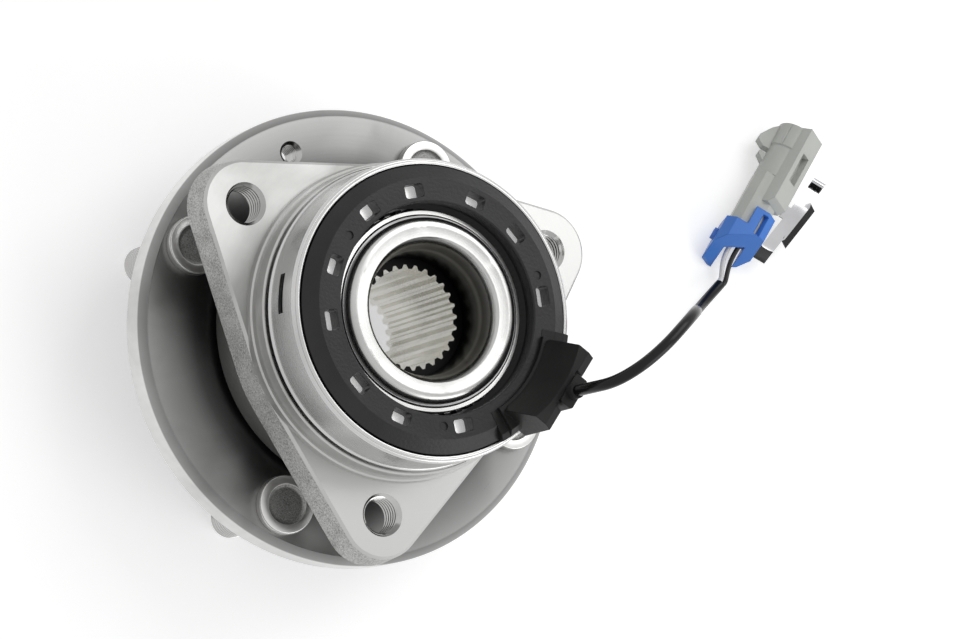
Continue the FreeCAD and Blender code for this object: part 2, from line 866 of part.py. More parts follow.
def bent_path(points):
    """Straight runs joined by tangent arcs, as large as the runs allow; returns wire and radii."""
    corners = [FreeCAD.Vector(*point) for point in points]
    edges = []
    radii = []
    pen = corners[0]
    for before, corner, after in zip(corners, corners[1:], corners[2:]):
        coming = (corner - before).normalize()
        going = (after - corner).normalize()
        half_turn = coming.getAngle(going) / 2
        reach = bend_share * min(corner.distanceToPoint(before), after.distanceToPoint(corner))
        radius = reach / math.tan(half_turn)
        start = corner - coming * reach
        end = corner + going * reach
        inward = (going - coming).normalize()
        middle = corner + inward * (radius / math.cos(half_turn) - radius)
        edges.append(Part.LineSegment(pen, start).toShape())
        edges.append(Part.Arc(start, middle, end).toShape())
        radii.append(radius)
        pen = end
    edges.append(Part.LineSegment(pen, corners[-1]).toShape())
    return Part.Wire(edges), radii


def tube(points, radius):
    """Round cord along a route; returns the solid, its length and its bend radii."""
    path, radii = bent_path(points)
    start = FreeCAD.Vector(*points[0])
    heading = FreeCAD.Vector(*points[1]) - start
    circle = Part.Wire([Part.makeCircle(radius, start, heading)])
    return path.makePipeShell([circle], True, False), path.Length, radii


def cable_grommet():
    """Rubber collar round the cable where it leaves the boss."""
    base = FreeCAD.Vector(*cable_route[0])
    heading = (FreeCAD.Vector(*cable_route[1]) - base).normalize()
    collar = Part.makeCone(grommet_r, grommet_r - grommet_taper, grommet_height, base, UP)
    hole = Part.makeCylinder(cable_r, 2 * grommet_height, base - heading, heading)
    return collar.cut(hole)


def rolled(shape):
    """Plug piece turned from its own frame to the way it lies, still at the origin."""
    return shape.rotated(ORIGIN, ALONG, -plug_roll).rotated(ORIGIN, UP, plug_turn)


def plug_place():
    """Where the plug's origin stands, so that its lock rests on the surface."""
    return FreeCAD.Vector(plug_x, plug_y, standing_z - rolled(plug_lock()).BoundBox.ZMin)


def plug_point(x, y, z, place):
    """Point of the plug's own frame, where the laid plug has it."""
    return rolled(Part.Vertex(x, y, z)).translated(place).Point


def wire(side, place):
    """One insulated wire from the end of the cable's jacket through the lock's mouth into the seal."""
    jacket_end = FreeCAD.Vector(*cable_route[-1])
    heading = (jacket_end - FreeCAD.Vector(*cable_route[-2])).normalize()
    start = jacket_end + heading.cross(UP).normalize() * (side * wire_offset)
    points = [start, start + heading * (wire_start_run + side * wire_lead)]
    middle_x = side * terminal_spacing / 2
    points.append(plug_point(middle_x, wire_entry_y, -wire_entry_drop, place))
    points.append(plug_point(middle_x, body_start_y - wire_r, 0.0, place))
    points.append(plug_point(middle_x, body_start_y + seal_length / 2, 0.0, place))
    return tube([tuple(point) for point in points], wire_r)[0]


def octagon_bar(half_width, chamfer, start_y, end_y):
    """Square bar along the plug with its four long edges chamfered."""
    low = half_width - chamfer
    corners = [
        (low, half_width), (half_width, low), (half_width, -low), (low, -half_width),
        (-low, -half_width), (-half_width, -low), (-half_width, low), (-low, half_width),
    ]
    points = [FreeCAD.Vector(x, start_y, z) for x, z in corners]
    face = Part.Face(Part.makePolygon(points + points[:1]))
    return face.extrude(ALONG * (end_y - start_y))


def leaned(shape):
    """Shape turned from the plug's +x side to the side of its rail."""
    return shape.rotated(ORIGIN, ALONG, -rail_lean)


def side_plate(corners, half_height):
    """Plate between two heights from its outline in the plug's x-y plane."""
    points = [FreeCAD.Vector(x, y, -half_height) for x, y in corners]
    return Part.Face(Part.makePolygon(points + points[:1])).extrude(UP * (2 * half_height))


def plug_rail():
    """Flat side rail with a window onto the barrel and a slanted foot."""
    rail = side_plate([
        (0.0, rail_start_y), (rail_r - rail_foot_chamfer, rail_start_y),
        (rail_r, rail_start_y + rail_foot_chamfer), (rail_r, plug_length), (0.0, plug_length)], rail_half_height)
    slot = plain_box(
        (barrel_r, rail_r + rail_foot_chamfer),
        (barrel_start_y + rail_slot_inset, collar_start_y + rail_slot_inset),
        (-rail_slot_half_height, rail_slot_half_height))
    return leaned(rail.cut(slot))


def plug_body():
    """Grey housing: chamfered rear, round barrel, socket with a wider collar, rail, latch and stop."""
    rear = octagon_bar(body_half_width, body_chamfer, body_start_y, barrel_start_y)
    barrel = Part.makeCylinder(
        barrel_r, collar_start_y - barrel_start_y, ALONG * barrel_start_y, ALONG)
    nose = Part.makeCylinder(socket_r, plug_length - collar_start_y, ALONG * collar_start_y, ALONG)
    rims = [edge for edge in nose.Edges if edge.Curve.TypeId == "Part::GeomCircle"]
    nose = nose.makeChamfer(socket_edge, rims)
    latch = side_plate([
        (0.0, latch_nose_y), (-socket_r, latch_nose_y), (-socket_r - latch_shelf, latch_nose_y - latch_shelf),
        (-socket_r - latch_reach, latch_ramp_y), (-socket_r - latch_reach, latch_ramp_y - latch_shelf),
        (-socket_r - latch_shelf, latch_back_y), (0.0, latch_back_y)], latch_half_height)
    stop = side_plate([
        (0.0, stop_end_y), (-barrel_r - stop_reach, stop_end_y),
        (-barrel_r - stop_reach, stop_start_y + latch_shelf), (-barrel_r, stop_start_y),
        (0.0, stop_start_y)], latch_half_height)
    body = rear.fuse([barrel, nose, plug_rail(), latch, stop]).removeSplitter()
    socket = Part.makeCylinder(socket_r - socket_wall, socket_depth, ALONG * (plug_length - socket_depth), ALONG)
    key_groove = plain_box(
        (-key_groove_x - key_groove_width, -key_groove_x), (collar_start_y, plug_length),
        (math.sqrt(socket_r ** 2 - key_groove_x ** 2) - key_groove_depth, 2 * socket_r))
    chamber = plain_box(
        (-terminal_spacing, terminal_spacing), (body_start_y, body_start_y + seal_length),
        (-terminal_spacing / 2, terminal_spacing / 2))
    return body.cut([socket, key_groove, chamber])


def plug_terminals():
    """Two blade terminals that stand in the socket."""
    floor_y = plug_length - socket_depth
    blades = []
    for side in (-1, 1):
        middle_x = side * terminal_spacing / 2
        blades.append(plain_box(
            (middle_x - terminal_half_width, middle_x + terminal_half_width),
            (floor_y, floor_y + terminal_reach), (-terminal_thickness / 2, terminal_thickness / 2)))
    return Part.makeCompound(blades)


def plug_seal():
    """Rubber wire seal in the rear chamber, with a hole for each wire."""
    half_width = terminal_spacing - plug_fit
    half_height = terminal_spacing / 2 - plug_fit
    block = plain_box(
        (-half_width, half_width), (body_start_y, body_start_y + seal_length), (-half_height, half_height))
    for side in (-1, 1):
        start = FreeCAD.Vector(side * terminal_spacing / 2, body_start_y, 0)
        block = block.cut(Part.makeCylinder(wire_r + plug_fit, seal_length, start, ALONG))
    return block


def lock_rear_cut():
    """Space behind the lock's slanted rear."""
    reach = 2 * lock_half_width
    corners = [(-reach, -reach), (reach, -reach), (reach, reach), (-reach, reach)]
    points = [FreeCAD.Vector(x, lock_rear_mid_y + lock_slope_x * x + lock_slope_z * z, z) for x, z in corners]
    return Part.Face(Part.makePolygon(points + points[:1])).extrude(ALONG * (-2 * reach))


def plug_lock():
    """Blue secondary lock: a collar with a slanted rear, a mouth for the wires, an arm and a lug."""
    collar = octagon_bar(lock_half_width, lock_chamfer, 0.0, lock_arm_length)
    clearing = plain_box(
        (-2 * lock_half_width, -lock_arm_inset), (lock_length, lock_arm_length),
        (-2 * lock_half_width, 2 * lock_half_width))
    underside = plain_box(
        (-2 * lock_half_width, 2 * lock_half_width), (lock_length, lock_arm_length),
        (-2 * lock_half_width, -lock_arm_inset))
    cavity = octagon_bar(body_half_width + plug_fit, body_chamfer, body_start_y, lock_arm_length)
    mouth = plain_box(
        (-wire_mouth_half_width, wire_mouth_half_width), (-lock_length, body_start_y),
        (-2 * lock_half_width, wire_mouth_top))
    slot = leaned(plain_box(
        (body_half_width, 2 * lock_half_width), (lock_slot_start_y, lock_slot_end_y),
        (lock_slot_height - lock_slot_half_width, lock_slot_height + lock_slot_half_width)))
    lug = plain_box(
        (-lock_half_width - lock_lug_reach, -body_half_width - 2 * plug_fit),
        (lock_lug_start_y, lock_lug_start_y + lock_lug_length), (-lock_lug_half_height, lock_lug_half_height))
    lock = collar.fuse(lug).removeSplitter()
    return lock.cut([clearing, underside, cavity, lock_rear_cut(), mouth, slot])


def bow(points):
    """Smooth edge through points."""
    curve = Part.BSplineCurve()
    curve.interpolate(points)
    return curve.toShape()


def plug_clip():
    """Bowed spring clip beside the plug, with a curled end, a side wing and a finger under the rail."""
    start_x = lock_half_width + clip_gap
    edge_x = start_x + clip_width
    finger_x = body_half_width + clip_gap
    wing_x = edge_x + clip_wing_reach
    under = [FreeCAD.Vector(finger_x, y, z) for y, z in clip_profile]
    over = [point + UP * clip_wall for point in under]
    middle = under[-1] + UP * clip_curl_r
    inner_curl_r = clip_curl_r - clip_wall
    edges = [
        bow(under),
        Part.Arc(under[-1], middle + ALONG * clip_curl_r, middle + UP * clip_curl_r).toShape(),
        Part.LineSegment(middle + UP * clip_curl_r, middle + UP * inner_curl_r).toShape(),
        Part.Arc(middle + UP * inner_curl_r, middle + ALONG * inner_curl_r, over[-1]).toShape(),
        bow(over),
        Part.LineSegment(over[0], under[0]).toShape(),
    ]
    sheet = Part.Face(Part.Wire(Part.__sortEdges__(edges)))
    strip = sheet.extrude(FreeCAD.Vector(wing_x - finger_x, 0, 0))
    height = (-plug_length, plug_length)
    trims = [
        plain_box((finger_x - clip_wall, start_x), (0.0, clip_finger_start_y), height),
        plain_box((finger_x - clip_wall, start_x), (clip_finger_end_y, plug_length), height),
        plain_box((edge_x, wing_x + clip_wall), (0.0, clip_wing_start_y), height),
        plain_box((edge_x, wing_x + clip_wall), (clip_wing_end_y, plug_length), height),
    ]
    return strip.cut(Part.makeCompound(trims))


def build():
    """Every node's shape by name; prints the cords' lengths and bend radii."""
    cable, cable_length, cable_radii = tube(cable_route, cable_r)
    print("cable length %.1f" % cable_length)
    print("cable radii " + " ".join("%.1f" % radius for radius in cable_radii))
    section_volume = math.pi * cable_r ** 2 * cable_length
    print("cable volume %.1f against section times length %.1f" % (cable.Volume, section_volume))
    magnet_z = ring_skirt_start_z
    coil_z = magnet_z + magnet_height + sensor_fit
    place = plug_place()
    print("plug origin %.2f %.2f %.2f" % tuple(place))
    return {
        "wheel_hub": wheel_hub(),
        "wheel_studs": wheel_studs(),
        "inner_ring": inner_ring(),
        "outer_ring": outer_ring(),
        "balls_outboard": balls(outboard_row_z),
        "cage_outboard": cage(outboard_row_z, 1),
        "balls_inboard": balls(inboard_row_z),
        "cage_inboard": cage(inboard_row_z, -1),
        "outboard_seal_case": outboard_seal_case(),
        "outboard_seal_lips": outboard_seal_lips(),
        "inboard_seal_case": inboard_seal_case(),
        "inboard_seal_lips": inboard_seal_lips(),
        "inboard_slinger": inboard_slinger(),
        "tone_ring": tone_ring(),
        "sensor_cap": sensor_cap(),
        "sensor_ring": sensor_ring(),
        "pole_ring": pole_ring(),
        "sensor_magnet": potted_ring(magnet_z, magnet_height),
        "sensor_coil": potted_ring(coil_z, coil_height),
        "terminal_block": terminal_block(),
        "cable_grommet": cable_grommet(),
        "cable": cable,
        "wire_white": wire(-1, place),
        "wire_black": wire(1, place),
        "plug_body": rolled(plug_body()).translated(place),
        "plug_lock": rolled(plug_lock()).translated(place),
        "plug_seal": rolled(plug_seal()).translated(place),
        "plug_terminals": rolled(plug_terminals()).translated(place),
        "plug_clip": rolled(plug_clip()).translated(place),
    }


os.makedirs("parts", exist_ok=True)
for name, shape in build().items():
    shape.exportStep("parts/%s.step" % name)
    print("%-20s solids %2d volume %9.1f valid %s" % (name, len(shape.Solids), shape.Volume, shape.isValid()))
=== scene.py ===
"""Looks of a wheel hub bearing: hub, studs, lobed outer ring, sensor ring and cap, cable and plug."""
import logging
import math
from dataclasses import dataclass
from enum import Enum, IntEnum
from typing import Callable, Dict, List, Optional, Sequence, Tuple

import bmesh
import bpy
from mathutils import Matrix, Vector


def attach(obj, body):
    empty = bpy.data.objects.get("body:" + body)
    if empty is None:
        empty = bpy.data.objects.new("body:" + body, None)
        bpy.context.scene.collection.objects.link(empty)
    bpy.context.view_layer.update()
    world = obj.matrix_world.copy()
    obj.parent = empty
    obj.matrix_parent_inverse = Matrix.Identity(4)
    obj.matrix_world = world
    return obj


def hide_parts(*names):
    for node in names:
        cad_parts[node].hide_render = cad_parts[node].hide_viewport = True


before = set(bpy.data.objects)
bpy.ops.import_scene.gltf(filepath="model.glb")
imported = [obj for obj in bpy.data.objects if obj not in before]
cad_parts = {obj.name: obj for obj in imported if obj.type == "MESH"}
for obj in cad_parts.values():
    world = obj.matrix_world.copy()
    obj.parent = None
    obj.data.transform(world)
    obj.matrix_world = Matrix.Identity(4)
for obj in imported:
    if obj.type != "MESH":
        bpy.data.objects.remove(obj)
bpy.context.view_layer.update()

LOG = logging.getLogger("wheel_hub_bearing")
MM = 0.001
FULL_TURN = 2 * math.pi
UP = Vector((0.0, 0.0, 1.0))
ORIGIN = Vector((0.0, 0.0, 0.0))
SHARP = math.radians(34)
ROUND_STEPS = 3
SPARE_TURNS = 3
TURN_STEPS = 64
THREAD_STEPS = 40
WELD = 1e-6
WHITE = (1.0, 1.0, 1.0, 1.0)
EVEN = (1.0, 1.0, 1.0)
Pair = Tuple[float, float]
Triple = Tuple[float, float, float]
Colour = Corner = Place = Triple
Mesh = bmesh.types.BMesh
Piece = bpy.types.Object
Material = bpy.types.Material
Socket = bpy.types.NodeSocket


class Body(Enum):
    """Bodies that the pieces made here ride on."""

    CARRIER = "carrier"
    HUB = "hub"


class Cut(Enum):
    """What a tool shape does to a piece."""

    TAKE_AWAY = "DIFFERENCE"
    KEEP_COMMON = "INTERSECT"


# Mesh helpers


def polar(r: float, degrees: float) -> Vector:
    """Point at a radius in millimetres and an angle from +X, in metres."""
    turn = math.radians(degrees)
    return Vector((r * MM * math.cos(turn), r * MM * math.sin(turn), 0.0))


def distance_mm(centre: Vector, axis: Vector) -> float:
    """Distance of a point in millimetres from an upright axis given in metres."""
    return math.hypot(centre.x - axis.x / MM, centre.y - axis.y / MM)


def lathe(corners: Sequence[Corner]) -> Mesh:
    """Turned shape from a section that starts and ends on the axis.

    Args:
        corners: Radius, height and rounding of each corner, in millimetres.

    Returns:
        The turned mesh, its faces outwards.
    """
    mesh = bmesh.new()
    points = [mesh.verts.new((r * MM, 0.0, z * MM)) for r, z, _ in corners]
    for start, end in zip(points, points[1:]):
        mesh.edges.new((start, end))
    for point, corner in zip(points, corners):
        if corner[2] > 0:
            bmesh.ops.bevel(mesh, geom=[point], offset=corner[2] * MM, offset_type="OFFSET",
                            affect="VERTICES", segments=ROUND_STEPS, profile=0.5, material=-1)
    bmesh.ops.spin(mesh, geom=mesh.verts[:] + mesh.edges[:], cent=ORIGIN, axis=UP,
                   angle=FULL_TURN, steps=TURN_STEPS, use_merge=True)
    bmesh.ops.remove_doubles(mesh, verts=mesh.verts[:], dist=WELD / 10)
    bmesh.ops.recalc_face_normals(mesh, faces=mesh.faces[:])
    return mesh


def moved(mesh: Mesh, matrix: Matrix) -> Mesh:
    """Moves a mesh in place and returns it."""
    bmesh.ops.transform(mesh, matrix=matrix, verts=mesh.verts[:])
    return mesh


def joined(parts: Sequence[Mesh]) -> Mesh:
    """Puts several meshes into one.

    Args:
        parts: Meshes, freed afterwards.

    Returns:
        One mesh that holds them all.
    """
    whole = bmesh.new()
    for part in parts:
        data = bpy.data.meshes.new("part")
        part.to_mesh(data)
        part.free()
        whole.from_mesh(data)
        bpy.data.meshes.remove(data)
    return whole


def spread(make: Callable[[], Mesh], places: Sequence[Matrix]) -> Mesh:
    """One fresh copy of a shape at each place, in one mesh."""
    return joined([moved(make(), place) for place in places])


def at_angle(degrees: float, r: float) -> Matrix:
    """Place at an angle about the hub axis, its own X pointing outwards."""
    return Matrix.Translation(polar(r, degrees)) @ Matrix.Rotation(math.radians(degrees), 4, "Z")


def around(count: int, first: float, r: float) -> List[Matrix]:
    """Places spaced evenly about the hub axis, from a first angle in degrees."""
    return [at_angle(first + number * 360.0 / count, r) for number in range(count)]


def threaded_rod(core: float, crest: float, pitch: float, low: float, high: float) -> Mesh:
    """Closed rod with a helical thread.

    Args:
        core: Radius at the thread's root, in millimetres.
        crest: Radius at its crest.
        pitch: Rise of one turn.
        low: Lower end.
        high: Upper end.

    Returns:
        The threaded rod's mesh.
    """
    mesh = bmesh.new()
    turns = int((high - low) / pitch) + SPARE_TURNS
    flat = pitch / 8
    profile = ((core, 0.0), (core, 2 * flat),
               (crest, pitch / 2 + flat / 2), (crest, pitch / 2 + 1.5 * flat))
    pen = None
    for number in range(turns + 1):
        start = low - SPARE_TURNS / 2 * pitch + number * pitch
        for r, rise in profile:
            point = mesh.verts.new((r * MM, 0.0, (start + rise) * MM))
            if pen is not None:
                mesh.edges.new((pen, point))
            pen = point
    bmesh.ops.spin(mesh, geom=mesh.verts[:] + mesh.edges[:], cent=ORIGIN, axis=UP,
                   dvec=UP * (pitch * MM / THREAD_STEPS), angle=FULL_TURN, steps=THREAD_STEPS)
    bmesh.ops.remove_doubles(mesh, verts=mesh.verts[:], dist=2 * WELD)
    for height, outwards in ((low, -UP), (high, UP)):
        cut = bmesh.ops.bisect_plane(mesh, geom=mesh.verts[:] + mesh.edges[:] + mesh.faces[:],
                                     plane_co=UP * (height * MM), plane_no=outwards,
                                     clear_outer=True)
        rim = [item for item in cut["geom_cut"] if isinstance(item, bmesh.types.BMEdge)]
        bmesh.ops.contextual_create(mesh, geom=rim)
    bmesh.ops.recalc_face_normals(mesh, faces=mesh.faces[:])
    return mesh


def copy_of(node: str) -> Mesh:
    """Copies a node's mesh with its doubled points merged.

    Args:
        node: Name of the node.

    Returns:
        The copy, in the frame's own coordinates.
    """
    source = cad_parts[node]
    mesh = bmesh.new()
    mesh.from_mesh(source.data)
    moved(mesh, source.matrix_world)
    bmesh.ops.remove_doubles(mesh, verts=mesh.verts[:], dist=WELD)
    return mesh


def smooth(data: bpy.types.Mesh) -> None:
    """Shades a mesh smooth between sharp edges, from its own shape alone.

    Args:
        data: The mesh that is changed.
    """
    for name in ("custom_normal", "sharp_edge", "sharp_face"):
        if name in data.attributes:
            data.attributes.remove(data.attributes[name])
    data.polygons.foreach_set("use_smooth", [True] * len(data.polygons))
    data.set_sharp_from_angle(angle=SHARP)


def to_object(name: str, mesh: Mesh, finishes: Sequence["Finish"]) -> Piece:
    """Makes an object from a mesh.

    Args:
        name: The piece's name.
        mesh: Its mesh, freed afterwards.
        finishes: A finish for each material slot.

    Returns:
        The object, linked to the scene.
    """
    data = bpy.data.meshes.new(name)
    mesh.to_mesh(data)
    mesh.free()
    smooth(data)
    piece = bpy.data.objects.new(name, data)
    for finish in finishes:
        data.materials.append(finish.material())
    bpy.context.scene.collection.objects.link(piece)
    return piece


def combine(piece: Piece, tool: Mesh, cut: Cut = Cut.TAKE_AWAY) -> None:
    """Cuts a piece with a tool shape, for good.

    Args:
        piece: The object that is changed.
        tool: The other shape, freed afterwards.
        cut: Whether the tool is taken away or only what lies in it is kept.
    """
    data = bpy.data.meshes.new("tool")
    tool.to_mesh(data)
    tool.free()
    helper = bpy.data.objects.new("tool", data)
    bpy.context.scene.collection.objects.link(helper)
    for finish in piece.data.materials:
        data.materials.append(finish)
    modifier = piece.modifiers.new("combine", "BOOLEAN")
    modifier.operation = cut.value
    modifier.solver = "EXACT"
    modifier.object = helper
    bpy.context.view_layer.update()
    evaluated = piece.evaluated_get(bpy.context.evaluated_depsgraph_get())
    result = bpy.data.meshes.new_from_object(evaluated)
    piece.modifiers.remove(modifier)
    old = piece.data
    piece.data = result
    result.name = piece.name
    bpy.data.meshes.remove(old)
    bpy.data.objects.remove(helper)
    bpy.data.meshes.remove(data)
    smooth(result)


def paint_regions(piece: Piece, region: Callable[[Vector, Vector], int]) -> None:
    """Gives each face the material that its centre in millimetres and normal call for."""
    for face in piece.data.polygons:
        face.material_index = region(face.center / MM, face.normal)


def settle(piece: Piece, body: Body, *nodes: str) -> None:
    """Lets a piece ride its body and stand for its nodes, and reports it.

    Args:
        piece: The piece.
        body: The body it rides on.
        nodes: Names of the nodes it stands for.
    """
    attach(piece, body.value)
    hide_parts(*nodes)
    LOG.info("%s rides %s and stands for %s", piece.name, body.value, ", ".join(nodes))


# Finishes


class Shader:
    """Small helper that lays out a node material."""

    MIX_A, MIX_B, MIX_RESULT = 6, 7, 2

    def __init__(self, name: str) -> None:
        """Starts a material with one shader.

        Args:
            name: The material's name.
        """
        self.made = bpy.data.materials.new(name)
        self.made.use_nodes = True
        self.tree = self.made.node_tree
        self.surface = self.tree.nodes["Principled BSDF"]
        self.place = self.node("ShaderNodeTexCoord").outputs["Object"]
        self.rounded: Optional[Socket] = None

    def node(self, kind: str, **settings: object) -> bpy.types.Node:
        """Adds a node to the material.

        Args:
            kind: The node's type.
            settings: Values of its own settings.

        Returns:
            The node.
        """
        made = self.tree.nodes.new(kind)
        for key, value in settings.items():
            setattr(made, key, value)
        return made

    def link(self, start: Socket, end: Socket) -> None:
        """Links two sockets."""
        self.tree.links.new(start, end)

    def feed(self, **sockets: Socket) -> None:
        """Links sockets to the shader's inputs, underscores standing for spaces."""
        for name, socket in sockets.items():
            self.link(socket, self.surface.inputs[name.replace("_", " ")])

    def fix(self, **values: object) -> None:
        """Sets values on the shader's own inputs, underscores standing for spaces."""
        for name, value in values.items():
            self.surface.inputs[name.replace("_", " ")].default_value = value

    def noise(self, scale: float, detail: float = 4.0, stretch: Optional[Vector] = None,
              distortion: float = 0.0) -> Socket:
        """Noise on object coordinates.

        Args:
            scale: Scale in features per metre.
            detail: Octaves.
            stretch: Scale of each axis before the noise.
            distortion: Distortion of the pattern.

        Returns:
            The noise value's socket.
        """
        place = self.place
        if stretch is not None:
            mapping = self.node("ShaderNodeMapping")
            mapping.inputs["Scale"].default_value = stretch
            self.link(self.place, mapping.inputs["Vector"])
            place = mapping.outputs["Vector"]
        texture = self.node("ShaderNodeTexNoise")
        texture.inputs["Scale"].default_value = scale
        texture.inputs["Detail"].default_value = detail
        texture.inputs["Distortion"].default_value = distortion
        self.link(place, texture.inputs["Vector"])
        return texture.outputs["Fac"]

    def ramp(self, value: Socket, places: Sequence[float], colours: Sequence[Colour]) -> Socket:
        """Colour ramp over a value.

        Args:
            value: The value that picks the colour.
            places: Where each colour is reached.
            colours: The colours in order.

        Returns:
            The colour's socket.
        """
        made = self.node("ShaderNodeValToRGB")
        elements = made.color_ramp.elements
        while len(elements) < len(places):
            elements.new(0.5)
        for element, place, colour in zip(elements, places, colours):
            element.position = place
            element.color = (*colour, 1.0)
        self.link(value, made.inputs["Fac"])
        return made.outputs["Color"]

    def span(self, value: Socket, low: float, high: float,
             start: float = 0.0, end: float = 1.0) -> Socket:
        """Maps a value from one range to another.

        Args:
            value: The value, clamped to its range.
            low: What the start becomes.
            high: What the end becomes.
            start: Start of the value's range.
            end: End of the value's range.

        Returns:
            The mapped value's socket.
        """
        made = self.node("ShaderNodeMapRange")
        made.inputs["From Min"].default_value = start
        made.inputs["From Max"].default_value = end
        made.inputs["To Min"].default_value = low
        made.inputs["To Max"].default_value = high
        self.link(value, made.inputs["Value"])
        return made.outputs["Result"]

    def about(self, value: Socket, middle: float, reach: Pair) -> Socket:
        """Lays a value between two sides of a middle one, given from it."""
        return self.span(value, middle + reach[0], middle + reach[1])

    def sum(self, first: Socket, second: Socket) -> Socket:
        """Adds two values.

        Args:
            first: One value.
            second: The other value.

        Returns:
            The sum's socket.
        """
        made = self.node("ShaderNodeMath", operation="ADD")
        self.link(first, made.inputs[0])
        self.link(second, made.inputs[1])
        return made.outputs["Value"]

    def tinted(self, colour: Socket, shade: Socket) -> Socket:
        """Multiplies a colour by a shade.

        Args:
            colour: The colour.
            shade: The shade, as a colour too.

        Returns:
            The darkened colour's socket.
        """
        made = self.node("ShaderNodeMix", data_type="RGBA", blend_type="MULTIPLY")
        made.inputs["Factor"].default_value = 1.0
        self.link(colour, made.inputs[self.MIX_A])
        self.link(shade, made.inputs[self.MIX_B])
        return made.outputs[self.MIX_RESULT]

    def worn_edges(self, width: float) -> None:
        """Rounds the look of sharp edges.

        Args:
            width: Width of the rounding in metres.
        """
        made = self.node("ShaderNodeBevel", samples=4)
        made.inputs["Radius"].default_value = width
        self.rounded = made.outputs["Normal"]
        self.link(self.rounded, self.surface.inputs["Normal"])

    def height(self) -> Socket:
        """Height of a point along the hub axis.

        Returns:
            The height's socket, in metres.
        """
        split = self.node("ShaderNodeSeparateXYZ")
        self.link(self.place, split.inputs["Vector"])
        return split.outputs["Z"]

    def radius(self) -> Socket:
        """Distance of a point from the hub axis.

        Returns:
            The distance's socket, in metres.
        """
        mapping = self.node("ShaderNodeMapping")
        mapping.inputs["Scale"].default_value = (1.0, 1.0, 0.0)
        self.link(self.place, mapping.inputs["Vector"])
        length = self.node("ShaderNodeVectorMath", operation="LENGTH")
        self.link(mapping.outputs["Vector"], length.inputs[0])
        return length.outputs["Value"]

    def painted_shade_bands(self, value: Socket, low: float, high: float,
              shades: Sequence[Pair], blue: float = 1.0) -> Socket:
        """Painted shade along a distance: a colour that darkens where shade falls.

        Args:
            value: The distance in metres.
            low: Where the scale starts, in millimetres.
            high: Where it ends.
            shades: Place in millimetres and painted shade of each stop.
            blue: Blue's share of a shade.

        Returns:
            The painted shade's socket.
        """
        places = [(at - low) / (high - low) for at, _ in shades]
        colours = [(shade, shade, shade * blue) for _, shade in shades]
        return self.ramp(self.span(value, 0.0, 1.0, low * MM, high * MM), places, colours)

    def rings(self, value: Socket, per_metre: float) -> Socket:
        """Uneven fine lines along a value, as a turning tool leaves them.

        Args:
            value: The value that the lines follow.
            per_metre: Lines in a metre.

        Returns:
            The lines' socket.
        """
        texture = self.node("ShaderNodeTexNoise", noise_dimensions="1D")
        texture.inputs["Scale"].default_value = per_metre
        texture.inputs["Detail"].default_value = 3.0
        self.link(value, texture.inputs["W"])
        return texture.outputs["Fac"]

    def bump(self, height: Socket, distance: float, strength: float,
             before: Optional[Socket] = None) -> Socket:
        """Bumps the surface by a height value.

        Args:
            height: The height's socket.
            distance: Height of a full bump in metres.
            strength: Share of the bump that shows.
            before: Bump that this one is stacked on, if any.

        Returns:
            The bumped normal's socket.
        """
        made = self.node("ShaderNodeBump")
        made.inputs["Strength"].default_value = strength
        made.inputs["Distance"].default_value = distance
        self.link(height, made.inputs["Height"])
        before = before or self.rounded
        if before is not None:
            self.link(before, made.inputs["Normal"])
        self.link(made.outputs["Normal"], self.surface.inputs["Normal"])
        return made.outputs["Normal"]


class Finish:
    """A finish that makes its material once."""

    name: str

    def material(self) -> Material:
        """Finds the finish's material, or makes it on first use.

        Returns:
            The material.
        """
        label = self.name + "_finish"
        known = bpy.data.materials.get(label)
        return known if known is not None else self.paint(Shader(label))

    def paint(self, shader: Shader) -> Material:
        """Lays out the finish's nodes."""
        raise NotImplementedError


@dataclass(frozen=True)
class TurnedSteel(Finish):
    """Machined steel with tool marks round the axis, stains, small scratches and, where given,
    painted shade along the radius.
    """

    name: str
    colour: Colour = (0.46, 0.46, 0.455)
    dark: Colour = (0.30, 0.30, 0.295)
    roughness: float = 0.3
    marks: float = 2600.0
    mark_depth: float = 0.000006
    mark_rough: Pair = (-0.06, 0.08)
    stain: float = 22.0
    stain_places: Pair = (0.3, 0.5)
    stain_rough: Pair = (0.08, -0.04)
    grain: float = 1400.0
    fan: float = 0.6
    painted_shade_bands: Tuple[Pair, ...] = ()
    span_mm: float = 72.0

    def paint(self, shader: Shader) -> Material:
        """Lays out turned marks, stains, grain and the painted shade along the radius.

        Args:
            shader: The material's shader.

        Returns:
            The material.
        """
        r = shader.radius()
        marks = shader.rings(shader.sum(r, shader.height()), self.marks)
        cloud = shader.noise(self.stain, detail=6.0, distortion=0.6)
        colour = shader.ramp(cloud, self.stain_places, (self.dark, self.colour))
        # Painted shade: the colour is darkened by radius where shade falls on the part.
        if self.painted_shade_bands:
            colour = shader.tinted(colour, shader.painted_shade_bands(r, 0.0, self.span_mm, self.painted_shade_bands))
        tangent = shader.node("ShaderNodeTangent", direction_type="RADIAL", axis="Z")
        rough = shader.sum(shader.about(cloud, self.roughness, self.stain_rough),
                           shader.about(marks, 0.0, self.mark_rough))
        shader.fix(Metallic=1.0, Anisotropic=self.fan)
        shader.feed(Base_Color=colour, Roughness=rough, Tangent=tangent.outputs["Tangent"])
        first = shader.bump(marks, self.mark_depth, strength=0.8)
        grain = shader.noise(self.grain, detail=2.0)
        shader.bump(grain, self.mark_depth / 2, strength=0.5, before=first)
        return shader.made


